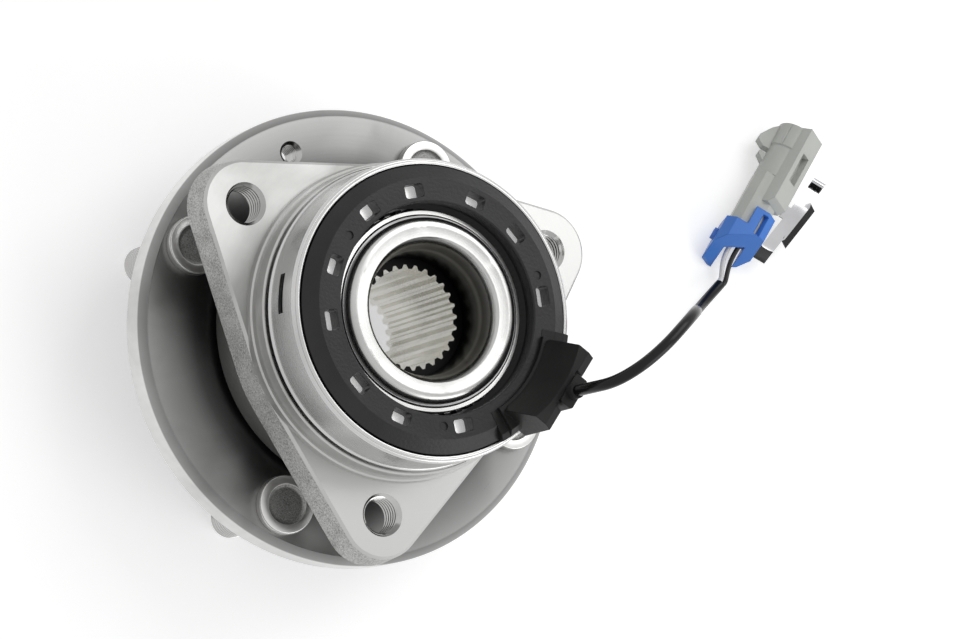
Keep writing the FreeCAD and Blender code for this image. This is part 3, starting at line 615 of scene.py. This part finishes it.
@dataclass(frozen=True)
class ForgedSkin(Finish):
    """Grainy forged side, blasted clean."""

    name: str
    colour: Colour = (0.36, 0.36, 0.35)
    dark: Colour = (0.22, 0.22, 0.215)
    light: Colour = (0.52, 0.52, 0.51)
    roughness: float = 0.5
    grain: float = 2200.0
    grain_share: float = 0.75
    grain_depth: float = 0.00012
    lumps: float = 160.0
    lump_depth: float = 0.0004
    places: Triple = (0.36, 0.48, 0.62)
    rough_reach: Pair = (0.15, -0.1)

    def paint(self, shader: Shader) -> Material:
        """Lays out coarse grain with dark specks.

        Args:
            shader: The material's shader.

        Returns:
            The material.
        """
        grain = shader.noise(self.grain, detail=4.0)
        lumps = shader.noise(self.lumps, detail=5.0)
        mixed = shader.sum(shader.span(grain, 0.0, self.grain_share),
                           shader.span(lumps, 0.0, 1.0 - self.grain_share))
        shader.fix(Metallic=1.0)
        shader.feed(Base_Color=shader.ramp(mixed, self.places, (self.dark, self.colour, self.light)),
                    Roughness=shader.about(mixed, self.roughness, self.rough_reach))
        first = shader.bump(lumps, self.lump_depth, strength=0.5)
        shader.bump(grain, self.grain_depth, strength=0.9, before=first)
        return shader.made


@dataclass(frozen=True)
class Plastic(Finish):
    """Moulded plastic or rubber with a fine texture."""

    name: str
    colour: Colour
    light: Colour
    roughness: float = 0.45
    texture: float = 900.0
    depth: float = 0.00004
    coat: float = 0.0
    coat_roughness: float = 0.15
    gloss: float = 0.4
    edge: float = 0.0
    texture_rough: Pair = (-0.06, 0.08)
    drift: float = 60.0
    drift_places: Pair = (0.35, 0.7)
    drift_rough: Pair = (-0.05, 0.08)

    def paint(self, shader: Shader) -> Material:
        """Lays out a slight colour drift and moulded texture.

        Args:
            shader: The material's shader.

        Returns:
            The material.
        """
        if self.edge > 0:
            shader.worn_edges(self.edge)
        cloud = shader.noise(self.drift, detail=5.0)
        grain = shader.noise(self.texture, detail=3.0)
        rough = shader.sum(shader.about(grain, 0.0, self.texture_rough),
                           shader.about(cloud, self.roughness, self.drift_rough))
        shader.fix(Specular_IOR_Level=self.gloss, Coat_Weight=self.coat,
                   Coat_Roughness=self.coat_roughness)
        shader.feed(Base_Color=shader.ramp(cloud, self.drift_places, (self.colour, self.light)),
                    Roughness=rough)
        shader.bump(grain, self.depth, strength=0.7)
        return shader.made


@dataclass(frozen=True)
class BrightMetal(Finish):
    """Drawn, plated or polished metal with faint scratches along its length."""

    name: str
    colour: Colour = (0.6, 0.6, 0.6)
    dark: Colour = (0.42, 0.42, 0.42)
    roughness: float = 0.2
    scratches: float = 500.0
    stretch: Triple = (1.0, 1.0, 6.0)
    scratch_depth: float = 0.00002
    scratch_rough: Pair = (-0.05, 0.07)
    stain: float = 45.0
    stain_places: Pair = (0.3, 0.6)
    stain_rough: Pair = (0.05, -0.03)

    def paint(self, shader: Shader) -> Material:
        """Lays out scratches and a slight cloud.

        Args:
            shader: The material's shader.

        Returns:
            The material.
        """
        scratch = shader.noise(self.scratches, stretch=Vector(self.stretch))
        cloud = shader.noise(self.stain)
        rough = shader.sum(shader.about(scratch, 0.0, self.scratch_rough),
                           shader.about(cloud, self.roughness, self.stain_rough))
        shader.fix(Metallic=1.0)
        shader.feed(Base_Color=shader.ramp(cloud, self.stain_places, (self.dark, self.colour)),
                    Roughness=rough)
        shader.bump(scratch, self.scratch_depth, strength=0.5)
        return shader.made


@dataclass(frozen=True)
class PolePlating(Finish):
    """White plating of the pole plate behind the windows, with a painted glow on its face and painted
    shade on its bore wall.
    """

    name: str
    wall_mm: float = 31.7
    face_mm: float = 31.9
    span_mm: float = 40.0
    # Painted shade: the bore wall is coloured near black.
    wall_shade: float = 0.03
    plating: Colour = (0.98, 0.98, 0.97)
    dulled: Colour = (0.95, 0.95, 0.94)
    roughness: float = 0.4
    rough_reach: Pair = (-0.05, 0.05)
    # Painted light: the face glows by emission though it is no lamp.
    glow: float = 0.3
    cloud: float = 300.0
    cloud_depth: float = 0.000005
    cloud_places: Pair = (0.3, 0.6)

    def paint(self, shader: Shader) -> Material:
        """Lays out the painted shade of the wall, the white face with its painted glow and a fine
        cloud.

        Args:
            shader: The material's shader.

        Returns:
            The material.
        """
        painted_shade_and_glow = shader.painted_shade_bands(shader.radius(), 0.0, self.span_mm,
                            ((self.wall_mm, self.wall_shade), (self.face_mm, 1.0)))
        cloud = shader.noise(self.cloud, detail=3.0)
        plating = shader.ramp(cloud, self.cloud_places, (self.dulled, self.plating))
        rough = shader.about(cloud, self.roughness, self.rough_reach)
        # Painted light and shade: the face emits a glow and the wall is darkened as shade.
        shader.fix(Metallic=1.0, Emission_Strength=self.glow)
        shader.feed(Base_Color=shader.tinted(plating, painted_shade_and_glow), Emission_Color=painted_shade_and_glow, Roughness=rough)
        shader.bump(cloud, self.cloud_depth, strength=0.5)
        return shader.made


@dataclass(frozen=True)
class DeepBore(Finish):
    """Smooth bore wall, painted bright at its mouth and painted black with shade deeper down."""

    name: str
    low_mm: float = 47.9
    high_mm: float = 61.9
    # Painted shade: the wall's colour falls from bright at the mouth to near black deep in the
    # counterbore.
    shades: Tuple[Pair, ...] = ((48.0, 0.008), (53.0, 0.02), (56.0, 0.10), (57.6, 0.3),
                                (58.6, 0.2), (60.0, 0.34), (61.6, 0.6))
    blue: float = 0.98
    roughness: float = 0.34
    rough_reach: Pair = (-0.06, 0.08)
    marks: float = 3000.0
    mark_depth: float = 0.000006

    def paint(self, shader: Shader) -> Material:
        """Lays out the painted shade of each depth and faint marks.

        Args:
            shader: The material's shader.

        Returns:
            The material.
        """
        depth = shader.height()
        marks = shader.rings(depth, self.marks)
        shade = shader.painted_shade_bands(depth, self.low_mm, self.high_mm, self.shades, self.blue)
        shader.fix(Metallic=1.0)
        shader.feed(Base_Color=shade, Roughness=shader.about(marks, self.roughness, self.rough_reach))
        shader.bump(marks, self.mark_depth, strength=0.8)
        return shader.made


# Painted shade: the hub is coloured darker from the rim in towards the barrel, darkest in the gap
# under the outer ring, with a darker band on the rim chamfer; the rim's edge keeps full colour.
HUB_STEEL = TurnedSteel("hub_steel", (0.78, 0.78, 0.77), (0.6, 0.6, 0.59),
                        painted_shade_bands=((0.0, 0.16), (38.0, 0.05), (46.0, 0.05), (52.0, 0.10), (58.0, 0.24),
                               (66.5, 0.36), (66.9, 0.26), (69.0, 0.4), (69.13, 1.0)))
RING_STEEL = TurnedSteel("ring_steel", (0.47, 0.47, 0.46), (0.32, 0.32, 0.31), roughness=0.32,
                         fan=0.4)
# Painted shade: the inner ring darkens towards its outer edge, in the gap by the seal.
RACE_STEEL = TurnedSteel("race_steel", (0.6, 0.6, 0.6), roughness=0.16, marks=5000.0,
                         painted_shade_bands=((0.0, 1.0), (26.4, 1.0), (27.0, 0.5), (28.6, 0.4), (29.0, 0.1)))
# Painted shade: the collar darkens towards its outer edge, where it meets the inner ring.
COLLAR_STEEL = TurnedSteel("collar_steel", (0.52, 0.52, 0.51), (0.4, 0.4, 0.39), roughness=0.22,
                           marks=4000.0, fan=0.4, painted_shade_bands=((0.0, 1.0), (25.6, 1.0), (26.9, 0.7)))
SPLINE_STEEL = BrightMetal("spline_steel", (0.86, 0.85, 0.8), (0.66, 0.65, 0.6), roughness=0.24,
                           scratches=700.0, stretch=(6.0, 6.0, 1.0))
BORE_STEEL = DeepBore("bore_steel")
THREAD_STEEL = BrightMetal("thread_steel", (0.5, 0.5, 0.49), (0.3, 0.3, 0.295), roughness=0.14)
FORGED = ForgedSkin("forged_skin")
STUD_STEEL = BrightMetal("stud_steel", (0.68, 0.68, 0.665), (0.5, 0.5, 0.49), roughness=0.33,
                         scratches=600.0, stretch=EVEN)
SHANK_STEEL = BrightMetal("stud_thread", (0.5, 0.5, 0.49), (0.36, 0.36, 0.355), roughness=0.16,
                          scratches=600.0, stretch=EVEN)
# Painted shade: the floor of the head's dish is coloured far darker than the plated head, as the
# shade in the hollow.
SHADED_DISH_STEEL = ForgedSkin("stud_dish_painted_shade", (0.22, 0.22, 0.215), (0.12, 0.12, 0.117), (0.3, 0.3, 0.29),
                        roughness=0.45, grain=2600.0)
CAP_STEEL = TurnedSteel("cap_steel", (0.55, 0.55, 0.545), (0.46, 0.46, 0.455), roughness=0.22,
                        marks=1500.0, fan=0.5)
POLE_STEEL = PolePlating("pole_steel")
PRESSED_STEEL = BrightMetal("pressed_steel", (0.42, 0.42, 0.42), (0.3, 0.3, 0.3), roughness=0.3)
# Painted shade: beyond 29.7 mm radius the tone ring is coloured near black, as the shade inside the
# sensor ring's bore.
TONE_STEEL = TurnedSteel("tone_steel", (0.62, 0.62, 0.61), (0.5, 0.5, 0.49), roughness=0.25,
                         marks=4000.0, painted_shade_bands=((0.0, 1.0), (29.62, 1.0), (29.72, 0.02), (34.0, 0.02)))
BALL_STEEL = BrightMetal("ball_steel", (0.75, 0.75, 0.76), (0.68, 0.68, 0.69), roughness=0.08)
CLIP_STEEL = BrightMetal("clip_steel", (0.6, 0.6, 0.61), (0.46, 0.46, 0.47), roughness=0.12,
                         scratches=300.0)
# Painted shade: a near-black copy of the clip steel for the underside, edges, root and wing.
CLIP_SHADE = BrightMetal("clip_painted_shade", (0.03, 0.03, 0.031), (0.012, 0.012, 0.012),
                         roughness=0.25, scratches=300.0)
TIN = BrightMetal("tinned_brass", (0.72, 0.68, 0.56), (0.6, 0.56, 0.45), roughness=0.28)
COPPER = BrightMetal("coil_copper", (0.6, 0.3, 0.16), (0.45, 0.2, 0.1), roughness=0.35,
                     scratches=900.0, stretch=(1.0, 1.0, 30.0))
BLACK_MOULDING = Plastic("black_moulding", (0.005, 0.005, 0.0055), (0.018, 0.018, 0.019),
                         roughness=0.38, texture=1100.0, depth=0.00012, gloss=0.35, edge=0.0003)
BLOCK_MOULDING = Plastic("block_moulding", (0.008, 0.008, 0.008), (0.014, 0.014, 0.013),
                         roughness=0.4, depth=0.00005, gloss=0.22, edge=0.0004)
RUBBER = Plastic("seal_rubber", (0.012, 0.012, 0.012), (0.02, 0.02, 0.02), roughness=0.6,
                 texture=1500.0, gloss=0.25)
CABLE_JACKET = Plastic("cable_jacket", (0.004, 0.004, 0.004), (0.007, 0.007, 0.007),
                       roughness=0.22, texture=400.0, depth=0.00003, coat=0.2, gloss=0.15)
WHITE_WIRE = Plastic("white_insulation", (0.72, 0.72, 0.73), (0.8, 0.8, 0.81), roughness=0.4)
BLACK_WIRE = Plastic("black_insulation", (0.008, 0.008, 0.008), (0.014, 0.014, 0.014), roughness=0.35)
GREY_MOULDING = Plastic("grey_moulding", (0.49, 0.505, 0.475), (0.55, 0.565, 0.535),
                        roughness=0.34, texture=700.0, depth=0.00003, edge=0.0004)
BLUE_MOULDING = Plastic("blue_moulding", (0.045, 0.19, 0.64), (0.055, 0.22, 0.72),
                        roughness=0.36, texture=700.0, depth=0.00003, edge=0.0005)
RED_RUBBER = Plastic("plug_seal_rubber", (0.35, 0.06, 0.03), (0.42, 0.08, 0.04), roughness=0.5)
CAGE_NYLON = Plastic("cage_nylon", (0.62, 0.5, 0.28), (0.7, 0.58, 0.34), roughness=0.4)
MAGNET = Plastic("magnet_ferrite", (0.05, 0.05, 0.055), (0.08, 0.08, 0.085), roughness=0.5)


# Pieces


class StudFace(IntEnum):
    """Regions of a stud, in the order of its materials."""

    PLATED = 0
    DISH = 1
    THREAD = 2


@dataclass
class WheelStuds:
    """Four pressed-in studs: threaded shank, neck in the flange and dished head."""

    count: int = 4
    circle_r: float = 57.15
    first: float = 9.75
    tip_z: float = -30.0
    thread_end_z: float = -3.5
    thread_core: float = 5.15
    thread_crest: float = 5.9
    pitch: float = 1.5
    neck_r: float = 6.4
    flange_z: float = 10.8
    head_r: float = 8.8
    head_z: float = 13.8
    dish_r: float = 6.1
    dish_z: float = 13.0
    dish_wall: float = 0.8
    dish_margin: float = 0.1
    dish_slope: float = 0.6
    tip_chamfer: float = 1.3
    tip_margin: float = 0.2
    collar_round: float = 0.3
    head_round: float = 0.45
    dish_round: float = 0.5

    def build(self) -> Piece:
        """Builds the studs in place.

        Returns:
            One object with all studs.
        """
        places = around(self.count, self.first, self.circle_r)
        shanks = to_object("stud_shanks", spread(self.shank, places), (STUD_STEEL,))
        combine(shanks, spread(self.point, places), Cut.KEEP_COMMON)
        heads = spread(self.head, places)
        heads.from_mesh(shanks.data)
        bpy.data.objects.remove(shanks)
        studs = to_object("studs", heads, (STUD_STEEL, SHADED_DISH_STEEL, SHANK_STEEL))
        paint_regions(studs, self.region)
        return studs

    def region(self, centre: Vector, normal: Vector) -> int:
        """Tells the shank's thread and the floor of the head's dish from the plated rest.

        Args:
            centre: The face's centre in millimetres.
            normal: Its normal.

        Returns:
            The region's number.
        """
        if centre.z < self.thread_end_z:
            return StudFace.THREAD
        in_dish = self.dish_z - self.dish_margin < centre.z < self.head_z - self.dish_margin
        return StudFace.DISH if in_dish and normal.z > self.dish_slope else StudFace.PLATED

    def shank(self) -> Mesh:
        """Threaded rod below the flange."""
        return threaded_rod(self.thread_core, self.thread_crest, self.pitch,
                            self.tip_z, self.thread_end_z)

    def point(self) -> Mesh:
        """Space that the chamfered shank may fill.

        Returns:
            The space's mesh, about the stud's own axis.
        """
        wide = self.thread_crest + self.tip_margin
        return lathe([(0, self.tip_z, 0), (self.thread_crest - self.tip_chamfer, self.tip_z, 0),
                      (wide, self.tip_z + self.tip_chamfer + self.tip_margin, 0),
                      (wide, self.thread_end_z, 0), (0, self.thread_end_z, 0)])

    def head(self) -> Mesh:
        """Smooth collar, neck and head with its dish.

        Returns:
            The head's mesh, about the stud's own axis.
        """
        edge = self.collar_round
        return lathe([(0, self.thread_end_z, 0), (self.thread_crest, self.thread_end_z, edge),
                      (self.thread_crest, 0, 0), (self.neck_r, 0, 0), (self.neck_r, self.flange_z, 0),
                      (self.head_r, self.flange_z, edge), (self.head_r, self.head_z, self.head_round),
                      (self.dish_r, self.head_z, edge),
                      (self.dish_r - self.dish_wall, self.dish_z, self.dish_round),
                      (0, self.dish_z, 0)])

    def dress(self, studs: Piece) -> None:
        """Lets the studs stand for their node on the hub."""
        settle(studs, Body.HUB, "wheel_studs")


class RingFace(IntEnum):
    """Regions of the outer ring, in the order of its materials."""

    MACHINED = 0
    FORGED = 1
    THREAD = 2


@dataclass
class OuterRing:
    """Lobed outer ring with threaded bolt holes, machined faces and a forged side."""

    bolts: int = 3
    circle_r: float = 57.0
    first: float = 60.0
    back_z: float = 27.0
    edge_z: float = 36.8
    face_z: float = 37.6
    barrel_r: float = 47.3
    thread_core: float = 5.1
    thread_crest: float = 6.0
    mouth_r: float = 6.5
    pitch: float = 1.5
    cutter_over: float = 0.5
    side_slope: float = 0.5

    def build(self) -> Piece:
        """Cuts the threads and marks the forged faces.

        Returns:
            The ring's object.
        """
        finishes = (RING_STEEL, FORGED, THREAD_STEEL)
        ring = to_object("outer_ring_forging", copy_of("outer_ring"), finishes)
        combine(ring, spread(self.thread, around(self.bolts, self.first, self.circle_r)))
        paint_regions(ring, self.region)
        return ring

    def thread(self) -> Mesh:
        """Cutter of one bolt hole's thread."""
        return threaded_rod(self.thread_core, self.thread_crest, self.pitch,
                            self.back_z - self.cutter_over, self.face_z + self.cutter_over)

    def region(self, centre: Vector, normal: Vector) -> int:
        """Tells the bolt holes' threads and the forged side from the machined rest.

        Args:
            centre: The face's centre in millimetres.
            normal: Its normal.

        Returns:
            The region's number.
        """
        for place in around(self.bolts, self.first, self.circle_r):
            if distance_mm(centre, place.translation) < self.mouth_r:
                return RingFace.THREAD
        side = self.back_z < centre.z < self.edge_z and distance_mm(centre, ORIGIN) > self.barrel_r
        return RingFace.FORGED if side and abs(normal.z) < self.side_slope else RingFace.MACHINED

    def dress(self, ring: Piece) -> None:
        """Lets the ring stand for its node on the carrier."""
        settle(ring, Body.CARRIER, "outer_ring")


class HubFace(IntEnum):
    """Regions of the hub, in the order of its materials."""

    TURNED = 0
    SPLINES = 1
    COUNTERBORE = 2
    COLLAR = 3
    THREAD = 4


@dataclass
class HubForging:
    """Wheel hub with its splined bore, counterbore with painted shade, formed collar and threaded
    screw hole.
    """

    screw_angle: float = 144.75
    screw_r: float = 57.7
    thread_core: float = 2.4
    thread_crest: float = 3.0
    pitch: float = 1.0
    flange_z: float = 10.8
    spline_r: float = 16.2
    spline_low: float = 3.6
    spline_high: float = 47.9
    mouth_r: float = 22.0
    collar_high: float = 61.6
    cutter_over: float = 0.5
    hole_margin: float = 0.8
    collar_margin: float = 0.2

    def build(self) -> Piece:
        """Cuts the screw hole's thread and marks each region.

        Returns:
            The hub's object.
        """
        finishes = (HUB_STEEL, SPLINE_STEEL, BORE_STEEL, COLLAR_STEEL, THREAD_STEEL)
        hub = to_object("hub_forging", copy_of("wheel_hub"), finishes)
        combine(hub, moved(self.thread(), at_angle(self.screw_angle, self.screw_r)))
        paint_regions(hub, self.region)
        return hub

    def thread(self) -> Mesh:
        """Cutter of the screw hole's thread."""
        return threaded_rod(self.thread_core, self.thread_crest, self.pitch,
                            -self.cutter_over, self.flange_z + self.cutter_over)

    def region(self, centre: Vector, normal: Vector) -> int:
        """Tells the thread, splines, counterbore and collar from the turned rest.

        Args:
            centre: The face's centre in millimetres.
            normal: Its normal.

        Returns:
            The region's number.
        """
        hole = polar(self.screw_r, self.screw_angle)
        if distance_mm(centre, hole) < self.thread_crest + self.hole_margin:
            return HubFace.THREAD
        r = distance_mm(centre, ORIGIN)
        if r < self.spline_r and self.spline_low < centre.z < self.spline_high:
            return HubFace.SPLINES
        if r < self.mouth_r and self.spline_high <= centre.z < self.collar_high:
            return HubFace.COUNTERBORE
        on_collar = centre.z > self.collar_high - self.collar_margin
        return HubFace.COLLAR if on_collar else HubFace.TURNED

    def dress(self, hub: Piece) -> None:
        """Lets the hub stand for its node."""
        settle(hub, Body.HUB, "wheel_hub")


class ClipFace(IntEnum):
    """Regions of the clip, in the order of its materials."""

    BRIGHT = 0
    SHADED = 1


@dataclass
class PlugClip:
    """Bright bowed clip that springs away from the plug towards its curled end."""

    plug_place: Place = (103.10, 114.30, -21.73)
    turn: float = 1.8
    roll: float = 17.0
    root_y: float = 12.0
    lean: float = 0.16
    stretch: float = 1.1
    wing_x: float = 12.06
    wing_drop: float = 1.3
    root_end_y: float = 15.0
    facing_up: float = 0.35

    def frame(self) -> Matrix:
        """Place of the laid plug's own frame.

        Returns:
            The matrix from the plug's own frame to the part's.
        """
        turned = Matrix.Rotation(math.radians(self.turn), 4, "Z")
        rolled = Matrix.Rotation(math.radians(-self.roll), 4, "Y")
        return Matrix.Translation(Vector(self.plug_place) * MM) @ (turned @ rolled)

    def build(self) -> Piece:
        """Leans the clip outwards and marks its bright faces and those with painted shade.

        Returns:
            The clip's object.
        """
        laid = self.frame()
        sprung = Matrix.Identity(4)
        sprung[1][1] = self.stretch
        sprung[1][3] = (1 - self.stretch) * self.root_y * MM
        sprung[0][1] = self.lean
        sprung[0][3] = -self.lean * self.root_y * MM
        mesh = moved(copy_of("plug_clip"), laid.inverted())
        for point in mesh.verts:
            point.co.z -= max(0.0, point.co.x - self.wing_x * MM) * self.wing_drop
        moved(mesh, laid @ sprung)
        clip = to_object("spring_clip", mesh, (CLIP_STEEL, CLIP_SHADE))
        paint_regions(clip, self.region)
        return clip

    def region(self, centre: Vector, normal: Vector) -> int:
        """Tells the underside, edges, root and wing, which take painted shade, from the bright top.

        Args:
            centre: The face's centre in millimetres.
            normal: Its normal.

        Returns:
            The region's number.
        """
        own = self.frame().inverted() @ (centre * MM) / MM
        on_wing = own.x - self.lean * (own.y - self.root_y) > self.wing_x
        # Painted shade: faces turned away from up, the root and the wing take the near-black finish.
        shaded = own.y < self.root_end_y or on_wing or normal.z < self.facing_up
        return ClipFace.SHADED if shaded else ClipFace.BRIGHT

    def dress(self, clip: Piece) -> None:
        """Lets the clip stand for its node on the carrier."""
        settle(clip, Body.CARRIER, "plug_clip")


@dataclass
class Cable:
    """Sensor cable, from the boss of the terminal block to the plug."""

    radius: float = 1.7
    length: float = 0.2178
    order: int = 3
    steps: int = 12
    round_steps: int = 6
    route: Tuple[Place, ...] = (
        (43.2, 0.0, 82.0),
        (43.6, 0.2, 91.0),
        (45.9, 2.6, 99.3),
        (48.1, 9.0, 105.5),
        (50.0, 17.5, 108.5),
        (51.9, 26.7, 107.8),
        (54.6, 34.3, 103.0),
        (58.7, 39.5, 92.5),
        (65.5, 47.0, 74.5),
        (73.1, 55.2, 54.0),
        (81.2, 63.9, 32.5),
        (89.0, 72.7, 12.0),
        (94.8, 80.2, -3.0),
        (99.2, 87.4, -13.5),
        (102.6, 94.7, -20.5),
        (105.1, 102.1, -24.6),
        (107.1, 110.0, -26.3),
    )

    def build(self) -> Piece:
        """Builds the cable as one smooth curve.

        Returns:
            The cable's curve object.
        """
        data = bpy.data.curves.new("sensor_cable", "CURVE")
        data.dimensions = "3D"
        spline = data.splines.new("NURBS")
        spline.points.add(len(self.route) - 1)
        for point, place in zip(spline.points, self.route):
            point.co = (*(Vector(place) * MM), 1.0)
        spline.order_u = self.order
        spline.use_endpoint_u = True
        spline.resolution_u = self.steps
        data.bevel_depth = self.radius * MM
        data.bevel_resolution = self.round_steps
        data.use_fill_caps = True
        data.materials.append(CABLE_JACKET.material())
        cable = bpy.data.objects.new("sensor_cable", data)
        bpy.context.scene.collection.objects.link(cable)
        return cable

    def dress(self, cable: Piece, with_pieces: Sequence[Piece]) -> None:
        """Args:
            cable: The cable's curve.
            with_pieces: What hangs on it: wires, plug and grommet; not used.
        """
        settle(cable, Body.CARRIER, "cable")
        tuple(Vector(self.route[0]) * MM)


@dataclass
class Studio:
    """Camera, lamps, floor and white surround."""

    camera_place: Place = (-0.32346, -0.43824, 1.07815)
    camera_right: Triple = (0.74206, 0.48727, 0.46034)
    camera_up: Triple = (-0.60384, 0.7841, 0.14341)
    camera_back: Triple = (-0.29107, -0.38439, 0.87608)
    lens_mm: float = 150.0
    sensor_mm: float = 36.0
    far_end: float = 20.0
    key_place: Place = (0.10, 0.85, 0.98)
    fill_place: Place = (1.15, -0.2, 0.75)
    lamp_target: Place = (0.03, 0.04, 0.02)
    lamp_size: float = 0.9
    lamp_watts: float = 5.0
    world_light: float = 0.45
    world_seen: float = 1.0
    floor_z: float = -0.030
    floor_half: float = 4.0
    floor_colour: Colour = (0.8, 0.8, 0.8)
    floor_roughness: float = 0.9
    floor_glow: float = 0.5

    def camera(self) -> None:
        """Sets the camera where the photographer stood."""
        data = bpy.data.cameras.new("camera")
        data.lens = self.lens_mm
        data.sensor_width = self.sensor_mm
        data.clip_end = self.far_end
        camera = bpy.data.objects.new("camera", data)
        axes = Matrix((self.camera_right, self.camera_up, self.camera_back)).transposed()
        camera.matrix_world = Matrix.Translation(self.camera_place) @ axes.to_4x4()
        bpy.context.scene.collection.objects.link(camera)
        bpy.context.scene.camera = camera

    def lamp(self, name: str, place: Place) -> None:
        """Adds a soft square lamp that looks at the part.

        Args:
            name: The lamp's name.
            place: Its place in metres.
        """
        data = bpy.data.lights.new(name, "AREA")
        data.size = self.lamp_size
        data.energy = self.lamp_watts
        lamp = bpy.data.objects.new(name, data)
        lamp.location = place
        towards = Vector(self.lamp_target) - Vector(place)
        lamp.rotation_euler = towards.to_track_quat("-Z", "Y").to_euler()
        bpy.context.scene.collection.objects.link(lamp)

    def surround(self) -> None:
        """Makes the world and the floor white to the eye and to reflections."""
        world = bpy.data.worlds.new("surround")
        bpy.context.scene.world = world
        world.use_nodes = True
        tree = world.node_tree
        background = tree.nodes["Background"]
        background.inputs["Color"].default_value = WHITE
        strength = tree.nodes.new("ShaderNodeMapRange")
        strength.inputs["To Min"].default_value = self.world_light
        strength.inputs["To Max"].default_value = self.world_seen
        tree.links.new(self.seen_by_eye(tree), strength.inputs["Value"])
        tree.links.new(strength.outputs["Result"], background.inputs["Strength"])
        mesh = bmesh.new()
        bmesh.ops.create_grid(mesh, x_segments=1, y_segments=1, size=self.floor_half,
                              matrix=Matrix.Translation(UP * self.floor_z))
        data = bpy.data.meshes.new("floor")
        mesh.to_mesh(data)
        mesh.free()
        floor = bpy.data.objects.new("floor", data)
        data.materials.append(self.floor_material())
        bpy.context.scene.collection.objects.link(floor)

    def seen_by_eye(self, tree: bpy.types.NodeTree) -> Socket:
        """Value that is 1 for camera, glossy and transmission rays.

        Args:
            tree: Node tree that the value is made in.

        Returns:
            The value's socket.
        """
        path = tree.nodes.new("ShaderNodeLightPath")
        total = path.outputs["Is Camera Ray"]
        for name in ("Is Glossy Ray", "Is Transmission Ray"):
            add = tree.nodes.new("ShaderNodeMath")
            add.operation = "MAXIMUM"
            tree.links.new(total, add.inputs[0])
            tree.links.new(path.outputs[name], add.inputs[1])
            total = add.outputs["Value"]
        return total

    def floor_material(self) -> Material:
        """Pale floor, white where it isn't shaded.

        Returns:
            The floor's material.
        """
        material = bpy.data.materials.new("pale_floor")
        material.use_nodes = True
        tree = material.node_tree
        surface = tree.nodes["Principled BSDF"]
        surface.inputs["Base Color"].default_value = (*self.floor_colour, 1.0)
        surface.inputs["Roughness"].default_value = self.floor_roughness
        surface.inputs["Specular IOR Level"].default_value = 0.0
        surface.inputs["Emission Color"].default_value = WHITE
        glow = tree.nodes.new("ShaderNodeMath")
        glow.operation = "MULTIPLY"
        glow.inputs[1].default_value = self.floor_glow
        tree.links.new(self.seen_by_eye(tree), glow.inputs[0])
        tree.links.new(glow.outputs["Value"], surface.inputs["Emission Strength"])
        return material

    def build(self) -> None:
        """Builds the whole studio."""
        bpy.context.scene.view_settings.view_transform = "Standard"
        self.camera()
        self.surround()
        self.lamp("key", self.key_place)
        self.lamp("fill", self.fill_place)


ON_CABLE = ("cable_grommet", "wire_white", "wire_black", "plug_body", "plug_lock", "plug_seal",
            "plug_terminals")
NODE_FINISHES: Dict[str, Finish] = {
    "inner_ring": RACE_STEEL,
    "balls_outboard": BALL_STEEL,
    "balls_inboard": BALL_STEEL,
    "cage_outboard": CAGE_NYLON,
    "cage_inboard": CAGE_NYLON,
    "outboard_seal_case": PRESSED_STEEL,
    "outboard_seal_lips": RUBBER,
    "inboard_seal_case": PRESSED_STEEL,
    "inboard_seal_lips": RUBBER,
    "inboard_slinger": PRESSED_STEEL,
    "tone_ring": TONE_STEEL,
    "sensor_cap": CAP_STEEL,
    "sensor_ring": BLACK_MOULDING,
    "pole_ring": POLE_STEEL,
    "sensor_magnet": MAGNET,
    "sensor_coil": COPPER,
    "terminal_block": BLOCK_MOULDING,
    "cable_grommet": RUBBER,
    "wire_white": WHITE_WIRE,
    "wire_black": BLACK_WIRE,
    "plug_body": GREY_MOULDING,
    "plug_lock": BLUE_MOULDING,
    "plug_seal": RED_RUBBER,
    "plug_terminals": TIN,
}


def dress_nodes() -> None:
    """Gives every remaining node its finish and reports it."""
    for node, finish in NODE_FINISHES.items():
        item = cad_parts[node]
        item.data.materials.clear()
        item.data.materials.append(finish.material())
        LOG.info("%s has the finish %s", node, finish.name)


def main() -> None:
    """Builds the studio and every piece in order."""
    logging.basicConfig(level=logging.INFO)
    Studio().build()
    pieces: Dict[type, Piece] = {}
    for kind in (HubForging, WheelStuds, OuterRing, PlugClip):
        maker = kind()
        pieces[kind] = maker.build()
        maker.dress(pieces[kind])
    dress_nodes()
    cable = Cable()
    curve = cable.build()
    cable.dress(curve, [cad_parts[node] for node in ON_CABLE] + [pieces[PlugClip]])


if __name__ == "__main__":
    main()
